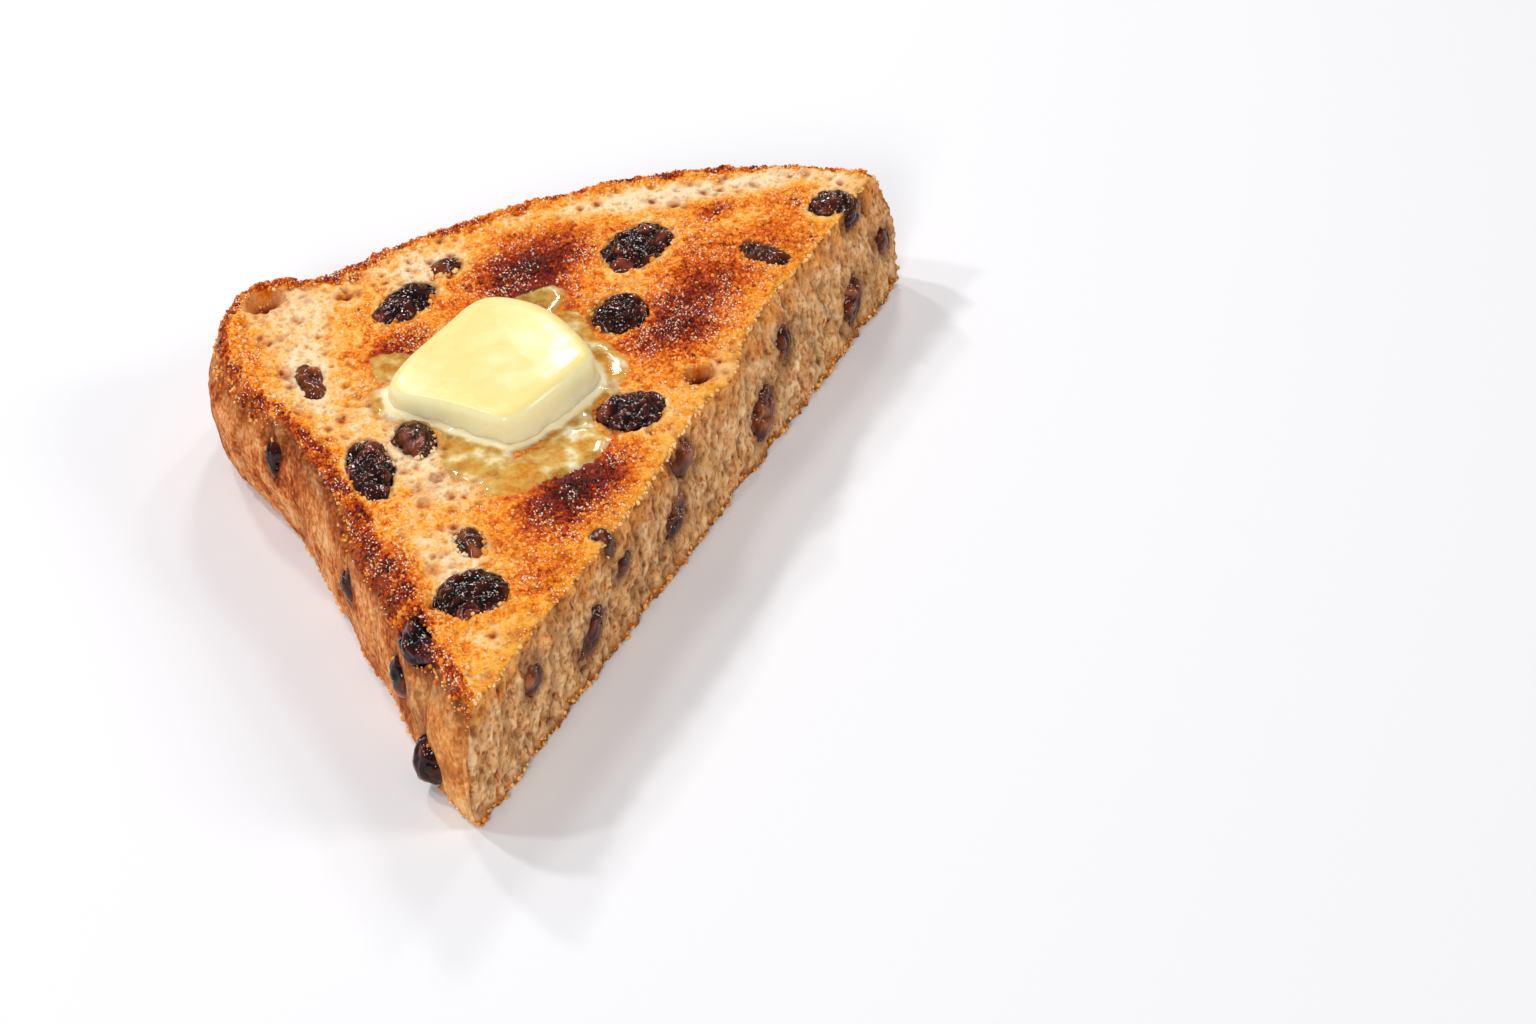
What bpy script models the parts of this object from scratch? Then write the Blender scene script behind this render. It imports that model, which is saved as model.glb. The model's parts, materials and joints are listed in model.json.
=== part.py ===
"""Half a slice of buttered raisin toast, cut corner to corner, with a softened pat of butter on it.

The slice lies flat, toasted side up.  While it is modelled, X runs along the loaf's base, Y runs up
towards the domed crown, and the slice's bottom left corner is near (0, 0).  The finished pieces hang
from one empty that brings the middle of the half slice over the world's origin.
"""
import math
import random

import bmesh
import bpy
from mathutils import Matrix, Vector, noise

MM = 0.001

# Driving sizes of the slice, in millimetres
THICKNESS = 20.0
CRUMB_LEVEL = 19.3
GAP = 0.3
CUT_START = (2.2, -0.4)
CUT_END = (108.4, 87.2)
SLICE_MIDDLE = (52.0, 50.0)

# The crust's outline at half thickness: x, y, and how far the toasted rim and the base stand inside it
CRUST_LINE = (
    (1.0, -0.8, 3.2, 1.2), (-0.2, 3.5, 3.4, 1.2), (-0.4, 20.0, 3.3, 1.2), (-0.6, 40.0, 2.8, 1.2),
    (-0.8, 58.0, 2.0, 1.4), (-1.8, 67.5, 2.2, 2.4), (-4.6, 75.5, 3.2, 3.8), (-5.7, 84.0, 3.6, 4.2),
    (-4.2, 92.4, 3.4, 3.6), (0.2, 99.0, 2.4, 2.6), (6.0, 102.6, 2.0, 2.0), (11.2, 102.4, 2.2, 1.8),
    (14.6, 100.4, 2.4, 1.6), (20.0, 101.2, 2.2, 1.4), (34.0, 104.8, 2.2, 1.4), (52.0, 106.4, 2.2, 1.4),
    (66.0, 106.4, 2.2, 1.4), (80.0, 103.8, 2.2, 1.4), (92.0, 99.6, 2.4, 1.4), (102.0, 94.0, 2.8, 1.4),
    (108.8, 85.6, 3.2, 1.4), (110.0, 72.0, 2.6, 1.4), (107.6, 40.0, 2.4, 1.4), (107.4, 6.0, 2.4, 1.4),
    (103.0, -1.8, 2.4, 1.4), (60.0, -2.4, 2.4, 1.4), (6.0, -2.2, 2.8, 1.2),
)
OUTLINE_POINTS = 96

# The crust's side, from the base up: height, share of the base's inset, and share of the rim's
CRUST_SIDE = (
    (0.0, 1.0, 0.0), (0.7, 0.62, 0.0), (3.0, 0.28, 0.0), (8.0, 0.0, 0.0), (12.5, 0.0, 0.05),
    (16.0, 0.0, 0.3), (18.4, 0.0, 0.7), (19.6, 0.0, 0.98), (20.0, 0.0, 1.3),
)
# The dip from the rim to the crumb: height and extra inset
CRUMB_SIDE = ((19.75, 1.2), (19.45, 3.2))
CRUMB_RINGS = (0.12, 0.27, 0.44, 0.63, 0.83)
# Unevenness of the crumb, the crust and the rim: height and size of the lumps
CRUMB_RELIEF, CRUMB_LUMPS = 0.35, 12.0
CRUST_RELIEF, CRUST_LUMPS = 0.35, 9.0
RIM_RELIEF, RIM_LUMPS, RIM_BOTTOM = 0.3, 6.0, 19.0
# The crumb lies level in an oval under the butter: middle, half sizes, how deep, and its soft edge
LEVEL_MIDDLE, LEVEL_HALVES = (30.0, 62.0), (19.0, 17.0)
LEVEL_DIP, LEVEL_EDGE = 0.1, 0.3

# The cut face: unevenness, spacing of its points, and how far the air beyond it reaches
CUT_RELIEF, CUT_LUMPS = 0.45, 6.0
CUT_STEP = 3.8
CUT_MARGIN = 15.0
CUT_OVERSHOOT = 4.0
CUTTER_DEPTH = 90.0
# The toasted edge is torn back from the cut: distance along it, and how far
TORN_EDGE = (
    (0.0, 0.4), (50.0, 0.8), (56.0, 1.0), (61.0, 2.3), (73.0, 2.3), (76.5, 1.1), (80.5, 1.7), (87.0, 4.2),
    (96.0, 4.9), (110.0, 4.6), (128.0, 4.7), (138.0, 4.2),
)
TORN_BOTTOM = 3.0

# Open pores in the toasted face: x, y, length, width, turn in degrees, depth
PORE_FACETS, PORE_LUMPS = (10, 6), 0.1
PORES = (
    (7.0, 96.8, 7.0, 5.0, 35.0, 3.2),
    (57.6, 53.2, 5.4, 4.2, 20.0, 3.4),
    (11.8, 42.4, 2.6, 2.0, 60.0, 1.6),
    (15.2, 46.6, 2.6, 2.2, 0.0, 1.6),
    (67.0, 75.2, 2.4, 1.8, 30.0, 1.4),
)

# Raisins in the toasted face: x, y, length, width, turn in degrees, how far they stand proud
TOP_RAISINS = (
    (62.8, 87.0, 15.6, 9.4, 30.0, 1.5),
    (25.8, 87.8, 13.6, 7.2, 30.0, 1.2),
    (53.4, 71.4, 11.6, 9.6, 45.0, 1.2),
    (45.4, 49.2, 12.0, 9.8, 15.0, 1.4),
    (7.6, 52.2, 15.4, 6.8, 80.0, 1.3),
    (15.6, 56.0, 10.4, 6.4, 82.0, 0.8),
    (10.8, 21.6, 12.0, 9.4, 20.0, 1.2),
    (14.4, 31.6, 7.0, 4.2, 80.0, 0.5),
    (94.4, 85.2, 8.6, 7.0, 20.0, 0.9),
    (79.2, 76.8, 9.4, 5.0, -60.0, 0.6),
    (6.6, 75.0, 10.4, 3.4, 85.0, 0.4),
    (34.2, 94.0, 6.0, 3.8, 20.0, 0.6),
)
# Raisins in the straight crust: y, z, length, height, turn, how far they stand proud
CRUST_RAISINS = (
    (68.6, 12.4, 3.6, 6.6, 8.0, 0.3),
    (40.3, 10.4, 4.4, 7.4, -12.0, 0.2),
    (20.9, 9.8, 4.0, 7.4, 4.0, 0.3),
    (10.0, 4.0, 5.0, 7.0, 12.0, 1.4),
)
# One raisin sits across the toasted rim: x, y, z, length, width, how far proud, and the way it faces
RIM_RAISIN = (1.0, 17.4, 18.0, 8.6, 5.0, 0.5)
RIM_RAISIN_FACING = (-0.8, 0.0, 0.6)
# Raisins in the cut face: distance along the cut, height, length, width, turn, how far proud
CUT_RAISINS = (
    (62.6, 14.9, 6.4, 5.2, 75.0, 0.5),
    (57.4, 7.9, 9.4, 5.0, 30.0, 0.2),
    (86.6, 5.6, 12.0, 7.0, 30.0, 0.3),
    (98.0, 11.0, 6.6, 4.4, 60.0, 0.2),
    (119.4, 5.2, 9.6, 6.0, 45.0, 0.3),
    (42.0, 12.2, 5.0, 3.8, 60.0, 0.1),
    (32.0, 7.2, 9.4, 6.4, 35.0, 0.3),
    (16.4, 11.8, 5.6, 4.0, 60.0, 0.2),
    (38.6, 17.6, 3.8, 3.4, 70.0, 0.1),
    (133.2, 8.6, 5.0, 5.0, 0.0, 0.2),
)
# Raisins along the domed crown, as shares of the crust's outline, with ranges for length, height, z and turn
BACK_RAISIN_SHARES = (0.385, 0.425, 0.46, 0.492)
BACK_RAISIN_RANGES = ((6.0, 9.5), (4.2, 6.0), (6.0, 12.5), (-25.0, 25.0))
BACK_RAISIN_PROUD = 0.35
# Raisins in the underside: how many, ranges for x, y, length, width and turn, and how far apart and inside
BASE_RAISINS = 5
BASE_RAISIN_RANGES = ((8.0, 92.0), (12.0, 94.0), (8.0, 12.0), (5.5, 7.5), (0.0, 180.0))
BASE_RAISIN_CLEAR, BASE_RAISIN_INSIDE, LOW_RAISIN = 14.0, 11.0, 12.0
BASE_RAISIN_LEVEL, BASE_RAISIN_PROUD, BASE_RAISIN_FLOOR = 0.6, 1.6, 0.35
# A raisin's thickness below its skin line: share of its width, share of its height proud, and least
RAISIN_DEPTH = (0.34, 0.25, 0.3)
RAISIN_LUMPS = 0.07
LARGE_RAISIN, LARGE_FACETS, SMALL_FACETS = 4.2, (10, 7), (8, 6)

# The pat of butter: each corner's place at the foot and at the top, in order round it
PAT_CORNERS = (
    (14.6, 65.0, 15.0, 64.6), (17.0, 68.9, 17.8, 68.0), (25.6, 74.6, 26.3, 73.6), (32.4, 78.0, 32.6, 76.9),
    (37.8, 77.0, 36.9, 76.1), (42.2, 72.0, 41.2, 71.2), (44.4, 64.2, 43.3, 63.6), (44.0, 57.0, 43.2, 57.2),
    (40.8, 54.0, 40.4, 54.6), (33.8, 50.0, 33.6, 50.8), (29.2, 47.9, 28.6, 49.0), (25.4, 49.4, 25.6, 49.7),
    (20.0, 56.6, 20.3, 56.7), (15.4, 62.0, 15.7, 61.8),
)
PAT_HEIGHT = 5.5
# The pat thins towards its west end, where it has melted most: share left there, from where, how far
PAT_THIN_END, PAT_WEST, PAT_THINNING = 0.64, 14.0, 20.0
PAT_ROUNDING = 0.16
PAT_BASE = CRUMB_LEVEL + 0.45
PAT_POINTS = 40
# Height share, and share of the way from the foot's outline to the top's; over one draws it in
PAT_SIDE = ((0.0, 0.5), (0.05, 0.0), (0.18, 0.45), (0.45, 0.85), (0.75, 1.0), (0.91, 1.2), (1.0, 1.7))
PAT_LID = ((0.66, 1.03), (0.34, 1.04))

# Colours of the plain materials
BREAD_COLOUR = (0.62, 0.33, 0.12, 1.0)
RAISIN_COLOUR = (0.035, 0.012, 0.009, 1.0)
BUTTER_COLOUR = (0.93, 0.78, 0.36, 1.0)
BREAD_ROUGHNESS, RAISIN_ROUGHNESS, BUTTER_ROUGHNESS = 0.75, 0.4, 0.35

CURVE_STEPS = 24
SHARPEST_TURN = 0.6
UP, NORTH, WEST = Vector((0.0, 0.0, 1.0)), Vector((0.0, 1.0, 0.0)), Vector((-1.0, 0.0, 0.0))


def plain_material(name, colour, roughness):
    """A Principled material of one colour."""
    material = bpy.data.materials.new(name)
    material.use_nodes = True
    shader = material.node_tree.nodes["Principled BSDF"]
    shader.inputs["Base Color"].default_value = colour
    shader.inputs["Roughness"].default_value = roughness
    shader.inputs["Metallic"].default_value = 0.0
    return material


def add_object(name, mesh_builder, collection, material=None):
    """Make an object of a bmesh, with all its faces turned outwards, and free the bmesh."""
    bmesh.ops.recalc_face_normals(mesh_builder, faces=mesh_builder.faces[:])
    if mesh_builder.calc_volume(signed=True) < 0.0:
        bmesh.ops.reverse_faces(mesh_builder, faces=mesh_builder.faces[:])
    mesh = bpy.data.meshes.new(name)
    mesh_builder.to_mesh(mesh)
    mesh_builder.free()
    if material:
        mesh.materials.append(material)
    made = bpy.data.objects.new(name, mesh)
    collection.objects.link(made)
    return made


def closed_curve(points, count):
    """Points spread evenly along a smooth closed curve through the given ones, with what they carry."""
    size = len(points)
    dense = []
    for index in range(size):
        before, start, end, after = (Vector(points[(index + k) % size]) for k in (-1, 0, 1, 2))
        for step in range(CURVE_STEPS):
            t = step / CURVE_STEPS
            dense.append(0.5 * (2.0 * start + (end - before) * t
                                + (2.0 * before - 5.0 * start + 4.0 * end - after) * t * t
                                + (3.0 * start - before - 3.0 * end + after) * t ** 3))
    dense.append(dense[0].copy())
    lengths = [0.0]
    for first, second in zip(dense, dense[1:]):
        lengths.append(lengths[-1] + (second.xy - first.xy).length)
    spread, place = [], 0
    for index in range(count):
        wanted = lengths[-1] * index / count
        while lengths[place + 1] < wanted:
            place += 1
        share = (wanted - lengths[place]) / (lengths[place + 1] - lengths[place])
        spread.append(dense[place].lerp(dense[place + 1], share))
    return spread


def loft(rings):
    """A closed skin over rings of points with equal counts, in triangles."""
    shape = bmesh.new()
    rows = [[shape.verts.new(Vector(point) * MM) for point in ring] for ring in rings]
    count = len(rows[0])
    for lower, upper in zip(rows, rows[1:]):
        for index in range(count):
            after = (index + 1) % count
            shape.faces.new((lower[index], lower[after], upper[after], upper[index]))
    shape.faces.new(tuple(reversed(rows[0])))
    shape.faces.new(tuple(rows[-1]))
    bmesh.ops.triangulate(shape, faces=shape.faces[:])
    return shape


def relief(x, y, z, scale, seed):
    """Soft unevenness between about -1 and 1, over lumps of the given size in millimetres."""
    return 1.6 * noise.noise(Vector((x / scale + seed, y / scale - seed, z / scale)))


def crust_frames():
    """For each point of the crust's outline: the point, the insets of rim and base, the way inwards."""
    outline = closed_curve(CRUST_LINE, OUTLINE_POINTS)
    middle = Vector(SLICE_MIDDLE)
    frames = []
    for index, point in enumerate(outline):
        along = (outline[(index + 1) % OUTLINE_POINTS].xy - outline[index - 1].xy).normalized()
        normal = Vector((along.y, -along.x))
        inward = (middle - point.xy).normalized()
        if normal.dot(inward) < 0.0:
            normal.negate()
        frames.append((point.xy, point.z, point.w, inward / max(normal.dot(inward), SHARPEST_TURN)))
    return frames


def slice_rings():
    """Rings of the whole slice, from its base up over the crust and in to the middle of the crumb."""
    frames = crust_frames()
    rings = []
    for height, base_share, rim_share in CRUST_SIDE:
        ring = []
        for point, rim, base, inward in frames:
            bump = 0.0
            if height > 0.0:
                bump = CRUST_RELIEF * relief(point.x, point.y, height * 2.0, CRUST_LUMPS, 3.1)
            place = point + inward * (base_share * base + rim_share * rim + bump)
            lift = 0.0
            if height > RIM_BOTTOM:
                lift = RIM_RELIEF * relief(point.x, point.y, 0.0, RIM_LUMPS, 7.7)
            ring.append((place.x, place.y, height + lift))
        rings.append(ring)
    for height, extra in CRUMB_SIDE:
        inset = [point + inward * (CRUST_SIDE[-1][2] * rim + extra) for point, rim, _, inward in frames]
        rings.append([(place.x, place.y, height) for place in inset])
    edge = [Vector(point[:2]) for point in rings[-1]]
    for share in CRUMB_RINGS:
        ring = []
        for point in edge:
            place = point.lerp(Vector(SLICE_MIDDLE), share)
            ring.append((place.x, place.y, crumb_height(place.x, place.y)))
        rings.append(ring)
    return rings


def crumb_height(x, y):
    """Height of the toasted crumb, level under the butter and gently uneven elsewhere."""
    away = math.hypot((x - LEVEL_MIDDLE[0]) / LEVEL_HALVES[0], (y - LEVEL_MIDDLE[1]) / LEVEL_HALVES[1])
    uneven = min(max((away - 1.0) / LEVEL_EDGE, 0.0), 1.0)
    lift = uneven * CRUMB_RELIEF * relief(x, y, 0.0, CRUMB_LUMPS, 1.3)
    return CRUMB_LEVEL + lift - LEVEL_DIP * (1.0 - uneven)


def crust_place(share):
    """A place on the crust's outline at a share of its length, and the way outwards there."""
    point, _, _, inward = crust_frames()[round(share * OUTLINE_POINTS) % OUTLINE_POINTS]
    return Vector((point.x, point.y, 0.0)), Vector((-inward.x, -inward.y, 0.0)).normalized()


def cut_axes():
    """The start of the cut, the way along it, and the way out of the half that is kept."""
    start = Vector((*CUT_START, 0.0))
    along = (Vector((*CUT_END, 0.0)) - start).normalized()
    return start, along, Vector((along.y, -along.x, 0.0))


def torn_back(distance, height):
    """How far the cut face stands back from the cut: most at its toasted edge, and nothing near the base."""
    edge = TORN_EDGE[-1][1]
    for (start, first), (end, second) in zip(TORN_EDGE, TORN_EDGE[1:]):
        if distance < end:
            edge = first + (second - first) * max((distance - start) / (end - start), 0.0)
            break
    return edge * min(max((height - TORN_BOTTOM) / (CRUMB_LEVEL - TORN_BOTTOM), 0.0), 1.0)


def cut_place(distance, height, step=0.0):
    """A place on the cut face, stepped outwards."""
    start, along, outward = cut_axes()
    return start + along * distance + outward * (step - torn_back(distance, height)) + UP * height


def ellipsoid(centre, axes, halves, segments, rings, lumps=0.0, seed=0.0, floor=None):
    """An ellipsoid along three axes, with shallow lumps, and pressed flat below the floor's height."""
    shape = bmesh.new()
    bmesh.ops.create_uvsphere(shape, u_segments=segments, v_segments=rings, radius=1.0)
    turn = Matrix(axes).transposed()
    for vertex in shape.verts:
        swell = 1.0 + lumps * relief(*(vertex.co * 10.0), 7.0, seed)
        local = Vector(component * half * swell for component, half in zip(vertex.co, halves))
        vertex.co = (turn @ local + centre) * MM
        if floor is not None:
            vertex.co.z = max(vertex.co.z, floor * MM)
    bmesh.ops.triangulate(shape, faces=shape.faces[:])
    return shape


def turned_axes(normal, upright, turn):
    """Axes for a thing lying on a face: its length, its width and the face's way out."""
    across = upright.cross(normal).normalized()
    up = normal.cross(across).normalized()
    angle = math.radians(turn)
    length = across * math.cos(angle) + up * math.sin(angle)
    return length, normal.cross(length).normalized(), normal.normalized()


class Fruit:
    """One raisin: where its skin meets the face, which way it lies, and its size in millimetres."""

    def __init__(self, name, place, axes, length, width, proud, floor=None):
        self.name = name
        self.axes = axes
        share, sunk, least = RAISIN_DEPTH
        self.halves = Vector((length / 2.0, width / 2.0, share * width + sunk * proud + least))
        self.centre = place + axes[2] * (proud - self.halves.z)
        self.floor = floor

    def mesh(self, grow, seed):
        segments, rings = LARGE_FACETS if self.halves.x > LARGE_RAISIN else SMALL_FACETS
        halves = self.halves + Vector((grow, grow, grow))
        floor = self.floor
        if floor is not None and grow > 0.0:
            floor = -1.0
        return ellipsoid(self.centre, self.axes, halves, segments, rings, RAISIN_LUMPS, seed, floor)


def top_fruit():
    """Raisins in the toasted face, and the one across its rim."""
    fruit = []
    for index, (x, y, length, width, turn, proud) in enumerate(TOP_RAISINS):
        axes = turned_axes(UP, NORTH, turn)
        place = Vector((x, y, crumb_height(x, y)))
        fruit.append(Fruit("raisin_top_%02d" % (index + 1), place, axes, length, width, proud))
    x, y, z, length, width, proud = RIM_RAISIN
    axes = turned_axes(Vector(RIM_RAISIN_FACING), UP, 0.0)
    fruit.append(Fruit("raisin_rim", Vector((x, y, z)), axes, length, width, proud))
    return fruit


def crust_fruit():
    """Raisins in the straight crust and along the domed crown."""
    frames = crust_frames()
    middle_x = SLICE_MIDDLE[0]
    fruit = []
    for index, (y, z, length, height, turn, proud) in enumerate(CRUST_RAISINS):
        x = min((abs(point.y - y), point.x) for point, _, _, _ in frames if point.x < middle_x)[1]
        axes = turned_axes(WEST, UP, turn)
        place = Vector((x, y, z))
        fruit.append(Fruit("raisin_crust_%02d" % (index + 1), place, axes, length, height, proud))
    draw = random.Random(11)
    for index, share in enumerate(BACK_RAISIN_SHARES):
        point, outward = crust_place(share)
        length, height, point.z, turn = (draw.uniform(*limits) for limits in BACK_RAISIN_RANGES)
        axes = turned_axes(outward, UP, turn)
        name = "raisin_back_%02d" % (index + 1)
        fruit.append(Fruit(name, point, axes, length, height, BACK_RAISIN_PROUD))
    return fruit


def cut_fruit():
    """Raisins that the cut laid open."""
    _, _, outward = cut_axes()
    fruit = []
    for index, (distance, height, length, width, turn, proud) in enumerate(CUT_RAISINS):
        axes = turned_axes(outward, UP, turn)
        place = cut_place(distance, height)
        fruit.append(Fruit("raisin_cut_%02d" % (index + 1), place, axes, length, width, proud))
    return fruit


def base_fruit(others):
    """Raisins in the underside, pressed flat and well apart from all the others."""
    start, _, outward = cut_axes()
    draw = random.Random(5)
    across, along, lengths, widths, turns = BASE_RAISIN_RANGES
    low = [item.centre for item in others if item.centre.z < LOW_RAISIN]
    fruit = []
    while len(fruit) < BASE_RAISINS:
        place = Vector((draw.uniform(*across), draw.uniform(*along), 0.0))
        inside = (place - start).dot(-outward)
        clear = all((place.xy - centre.xy).length > BASE_RAISIN_CLEAR for centre in low)
        if inside < BASE_RAISIN_INSIDE or not clear:
            continue
        length, width = draw.uniform(*lengths), draw.uniform(*widths)
        axes = turned_axes(-UP, NORTH, draw.uniform(*turns))
        place.z = BASE_RAISIN_LEVEL
        name = "raisin_base_%02d" % (len(fruit) + 1)
        raisin = Fruit(name, place, axes, length, width, BASE_RAISIN_PROUD, BASE_RAISIN_FLOOR)
        fruit.append(raisin)
        low.append(raisin.centre)
    return fruit


def make_cut(collection):
    """The wedge of air beyond the cut, whose near face has the crumb's torn unevenness."""
    _, _, outward = cut_axes()
    length = (Vector(CUT_END) - Vector(CUT_START)).length + 2.0 * CUT_MARGIN
    tall = THICKNESS + 2.0 * CUT_OVERSHOOT
    shape = bmesh.new()
    columns, rows = round(length / CUT_STEP), round(tall / CUT_STEP)
    bmesh.ops.create_grid(shape, x_segments=columns, y_segments=rows, size=0.5)
    for vertex in shape.verts:
        distance = (vertex.co.x + 0.5) * length - CUT_MARGIN
        height = (vertex.co.y + 0.5) * tall - CUT_OVERSHOOT
        step = CUT_RELIEF * relief(distance, height, 0.0, CUT_LUMPS, 4.2)
        vertex.co = cut_place(distance, height, step) * MM
    near = shape.faces[:]
    far = bmesh.ops.extrude_face_region(shape, geom=near, use_keep_orig=True)["geom"]
    moved = [item for item in far if isinstance(item, bmesh.types.BMVert)]
    bmesh.ops.translate(shape, verts=moved, vec=outward * CUTTER_DEPTH * MM)
    bmesh.ops.triangulate(shape, faces=shape.faces[:])
    return add_object("cut", shape, collection)


def make_pores(collection):
    """Hollows for the open pores of the toasted face."""
    for index, (x, y, length, width, turn, depth) in enumerate(PORES):
        axes = turned_axes(UP, NORTH, turn)
        centre = Vector((x, y, CRUMB_LEVEL + GAP))
        shape = ellipsoid(centre, axes, (length / 2.0, width / 2.0, depth), *PORE_FACETS, PORE_LUMPS, index)
        add_object("pore_%02d" % (index + 1), shape, collection)


def subtract(target, name, **operand):
    """A Boolean cut that stays on its object."""
    cut = target.modifiers.new(name, "BOOLEAN")
    cut.operation = "DIFFERENCE"
    cut.solver = "EXACT"
    for key, value in operand.items():
        setattr(cut, key, value)


def make_bread(toast, cutters, hollows):
    """The half slice, with a hollow for each raisin and pore."""
    material = plain_material("toasted_bread", BREAD_COLOUR, BREAD_ROUGHNESS)
    bread = add_object("bread", loft(slice_rings()), toast, material)
    subtract(bread, "corner to corner", operand_type="OBJECT", object=make_cut(cutters))
    subtract(bread, "hollows", operand_type="COLLECTION", collection=hollows)
    return bread


def pat_lift(x, height):
    """Height of a level of the pat at a distance east."""
    thick = PAT_THIN_END + (1.0 - PAT_THIN_END) * min(max((x - PAT_WEST) / PAT_THINNING, 0.0), 1.0)
    return PAT_BASE + PAT_HEIGHT * height * thick


def make_pat(toast):
    """The softened pat: a spread foot, steep sides, rounded corners and a slightly crowned top."""
    corners = closed_curve(PAT_CORNERS, PAT_POINTS)
    feet = [Vector(corner[:2]) for corner in corners]
    tops = [Vector(corner[2:]) for corner in corners]
    middle = sum(tops, Vector((0.0, 0.0))) / PAT_POINTS
    rings = []
    for height, share in PAT_SIDE:
        drawn_in = max(share - 1.0, 0.0) * PAT_ROUNDING
        places = [foot.lerp(top, min(share, 1.0)).lerp(middle, drawn_in) for foot, top in zip(feet, tops)]
        rings.append([(place.x, place.y, pat_lift(place.x, height)) for place in places])
    for size, height in PAT_LID:
        places = [middle.lerp(top, size) for top in tops]
        rings.append([(place.x, place.y, pat_lift(place.x, height)) for place in places])
    material = plain_material("butter", BUTTER_COLOUR, BUTTER_ROUGHNESS)
    pat = add_object("butter_pat", loft(rings), toast, material)
    pat.data.shade_smooth()


def make_raisins(toast, hollows):
    """Every raisin as its own solid, and its hollow, a gap wider all round."""
    material = plain_material("raisin_skin", RAISIN_COLOUR, RAISIN_ROUGHNESS)
    fruit = top_fruit() + crust_fruit() + cut_fruit()
    fruit += base_fruit(fruit)
    for index, raisin in enumerate(fruit):
        seed = 2.7 * index
        made = add_object(raisin.name, raisin.mesh(0.0, seed), toast, material)
        made.data.shade_smooth()
        add_object("hollow_" + raisin.name, raisin.mesh(GAP, seed), hollows)


def hang_from_middle(toast):
    """Parent every piece to an empty that puts the half slice's middle over the origin."""
    outline = [point for point, _, _, _ in crust_frames()]
    start, _, outward = cut_axes()
    kept = [point for point in outline if (Vector((*point, 0.0)) - start).dot(outward) < 0.0]
    kept.append(Vector(CUT_END))
    centre_x = (min(point.x for point in kept) + max(point.x for point in kept)) / 2.0
    centre_y = (min(point.y for point in kept) + max(point.y for point in kept)) / 2.0
    middle = bpy.data.objects.new("toast_middle", None)
    toast.objects.link(middle)
    middle.location = (-centre_x * MM, -centre_y * MM, 0.0)
    for piece in toast.objects:
        if piece is not middle:
            piece.parent = middle
    return middle


def hide(collection, middle):
    """Keep cutters out of renders, and let them move with the toast."""
    for cutter in collection.objects:
        cutter.hide_render = True
        cutter.display_type = "WIRE"
        cutter.parent = middle


def main():
    for old in list(bpy.data.objects):
        bpy.data.objects.remove(old, do_unlink=True)
    scene = bpy.context.scene.collection
    toast = bpy.data.collections.new("buttered_toast")
    cutters = bpy.data.collections.new("cutters")
    hollows = bpy.data.collections.new("hollows")
    scene.children.link(toast)
    scene.children.link(cutters)
    cutters.children.link(hollows)
    make_raisins(toast, hollows)
    make_pores(hollows)
    make_bread(toast, cutters, hollows)
    make_pat(toast)
    middle = hang_from_middle(toast)
    hide(cutters, middle)
    hide(hollows, middle)


main()
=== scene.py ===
"""Looks of a half slice of buttered raisin toast.

Places are written in the slice's own millimetres, as a baker would measure them: X along the loaf's base,
Y up towards its domed crown, Z up from the board, with the slice's bottom left corner near (0, 0).
"""
import json
import math
from functools import partial

import bmesh
import bpy
import numpy as np
from bpy.props import FloatProperty, IntProperty, StringProperty
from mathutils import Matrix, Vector, kdtree, noise
from mathutils.bvhtree import BVHTree

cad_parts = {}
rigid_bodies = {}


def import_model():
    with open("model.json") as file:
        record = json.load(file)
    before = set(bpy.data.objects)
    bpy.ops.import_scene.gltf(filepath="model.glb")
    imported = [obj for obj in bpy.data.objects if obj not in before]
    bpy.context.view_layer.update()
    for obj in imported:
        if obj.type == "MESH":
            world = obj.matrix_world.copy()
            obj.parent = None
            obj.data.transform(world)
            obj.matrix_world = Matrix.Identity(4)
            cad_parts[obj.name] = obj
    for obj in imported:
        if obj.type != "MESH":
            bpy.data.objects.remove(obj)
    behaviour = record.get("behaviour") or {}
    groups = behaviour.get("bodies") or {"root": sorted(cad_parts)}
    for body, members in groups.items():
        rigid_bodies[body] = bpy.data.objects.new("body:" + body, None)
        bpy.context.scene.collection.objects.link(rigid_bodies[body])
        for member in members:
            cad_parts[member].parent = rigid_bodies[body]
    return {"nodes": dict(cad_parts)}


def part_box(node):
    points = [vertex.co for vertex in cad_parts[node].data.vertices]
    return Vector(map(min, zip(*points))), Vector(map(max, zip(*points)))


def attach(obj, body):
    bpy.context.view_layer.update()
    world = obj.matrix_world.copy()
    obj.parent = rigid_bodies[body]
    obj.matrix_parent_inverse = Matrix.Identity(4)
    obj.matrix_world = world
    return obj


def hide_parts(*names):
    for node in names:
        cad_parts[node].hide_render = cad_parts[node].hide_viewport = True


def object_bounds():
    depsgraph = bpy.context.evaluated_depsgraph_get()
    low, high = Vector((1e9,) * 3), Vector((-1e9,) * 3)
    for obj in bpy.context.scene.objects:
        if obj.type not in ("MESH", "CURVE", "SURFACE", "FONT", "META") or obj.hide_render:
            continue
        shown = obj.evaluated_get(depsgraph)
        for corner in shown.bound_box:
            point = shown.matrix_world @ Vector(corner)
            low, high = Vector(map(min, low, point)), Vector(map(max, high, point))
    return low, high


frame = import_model()
FRAME_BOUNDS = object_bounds()

bl_info = {
    "name": "Buttered raisin toast",
    "version": (1, 0, 0),
    "blender": (4, 5, 0),
    "location": "3D View > Sidebar > Toast",
    "description": "Browns, butters and lights a half slice of raisin toast",
    "category": "Object",
}

MM = 0.001
# Takes the height out of a place
FLAT = np.array([1.0, 1.0, 0.0])
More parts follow.
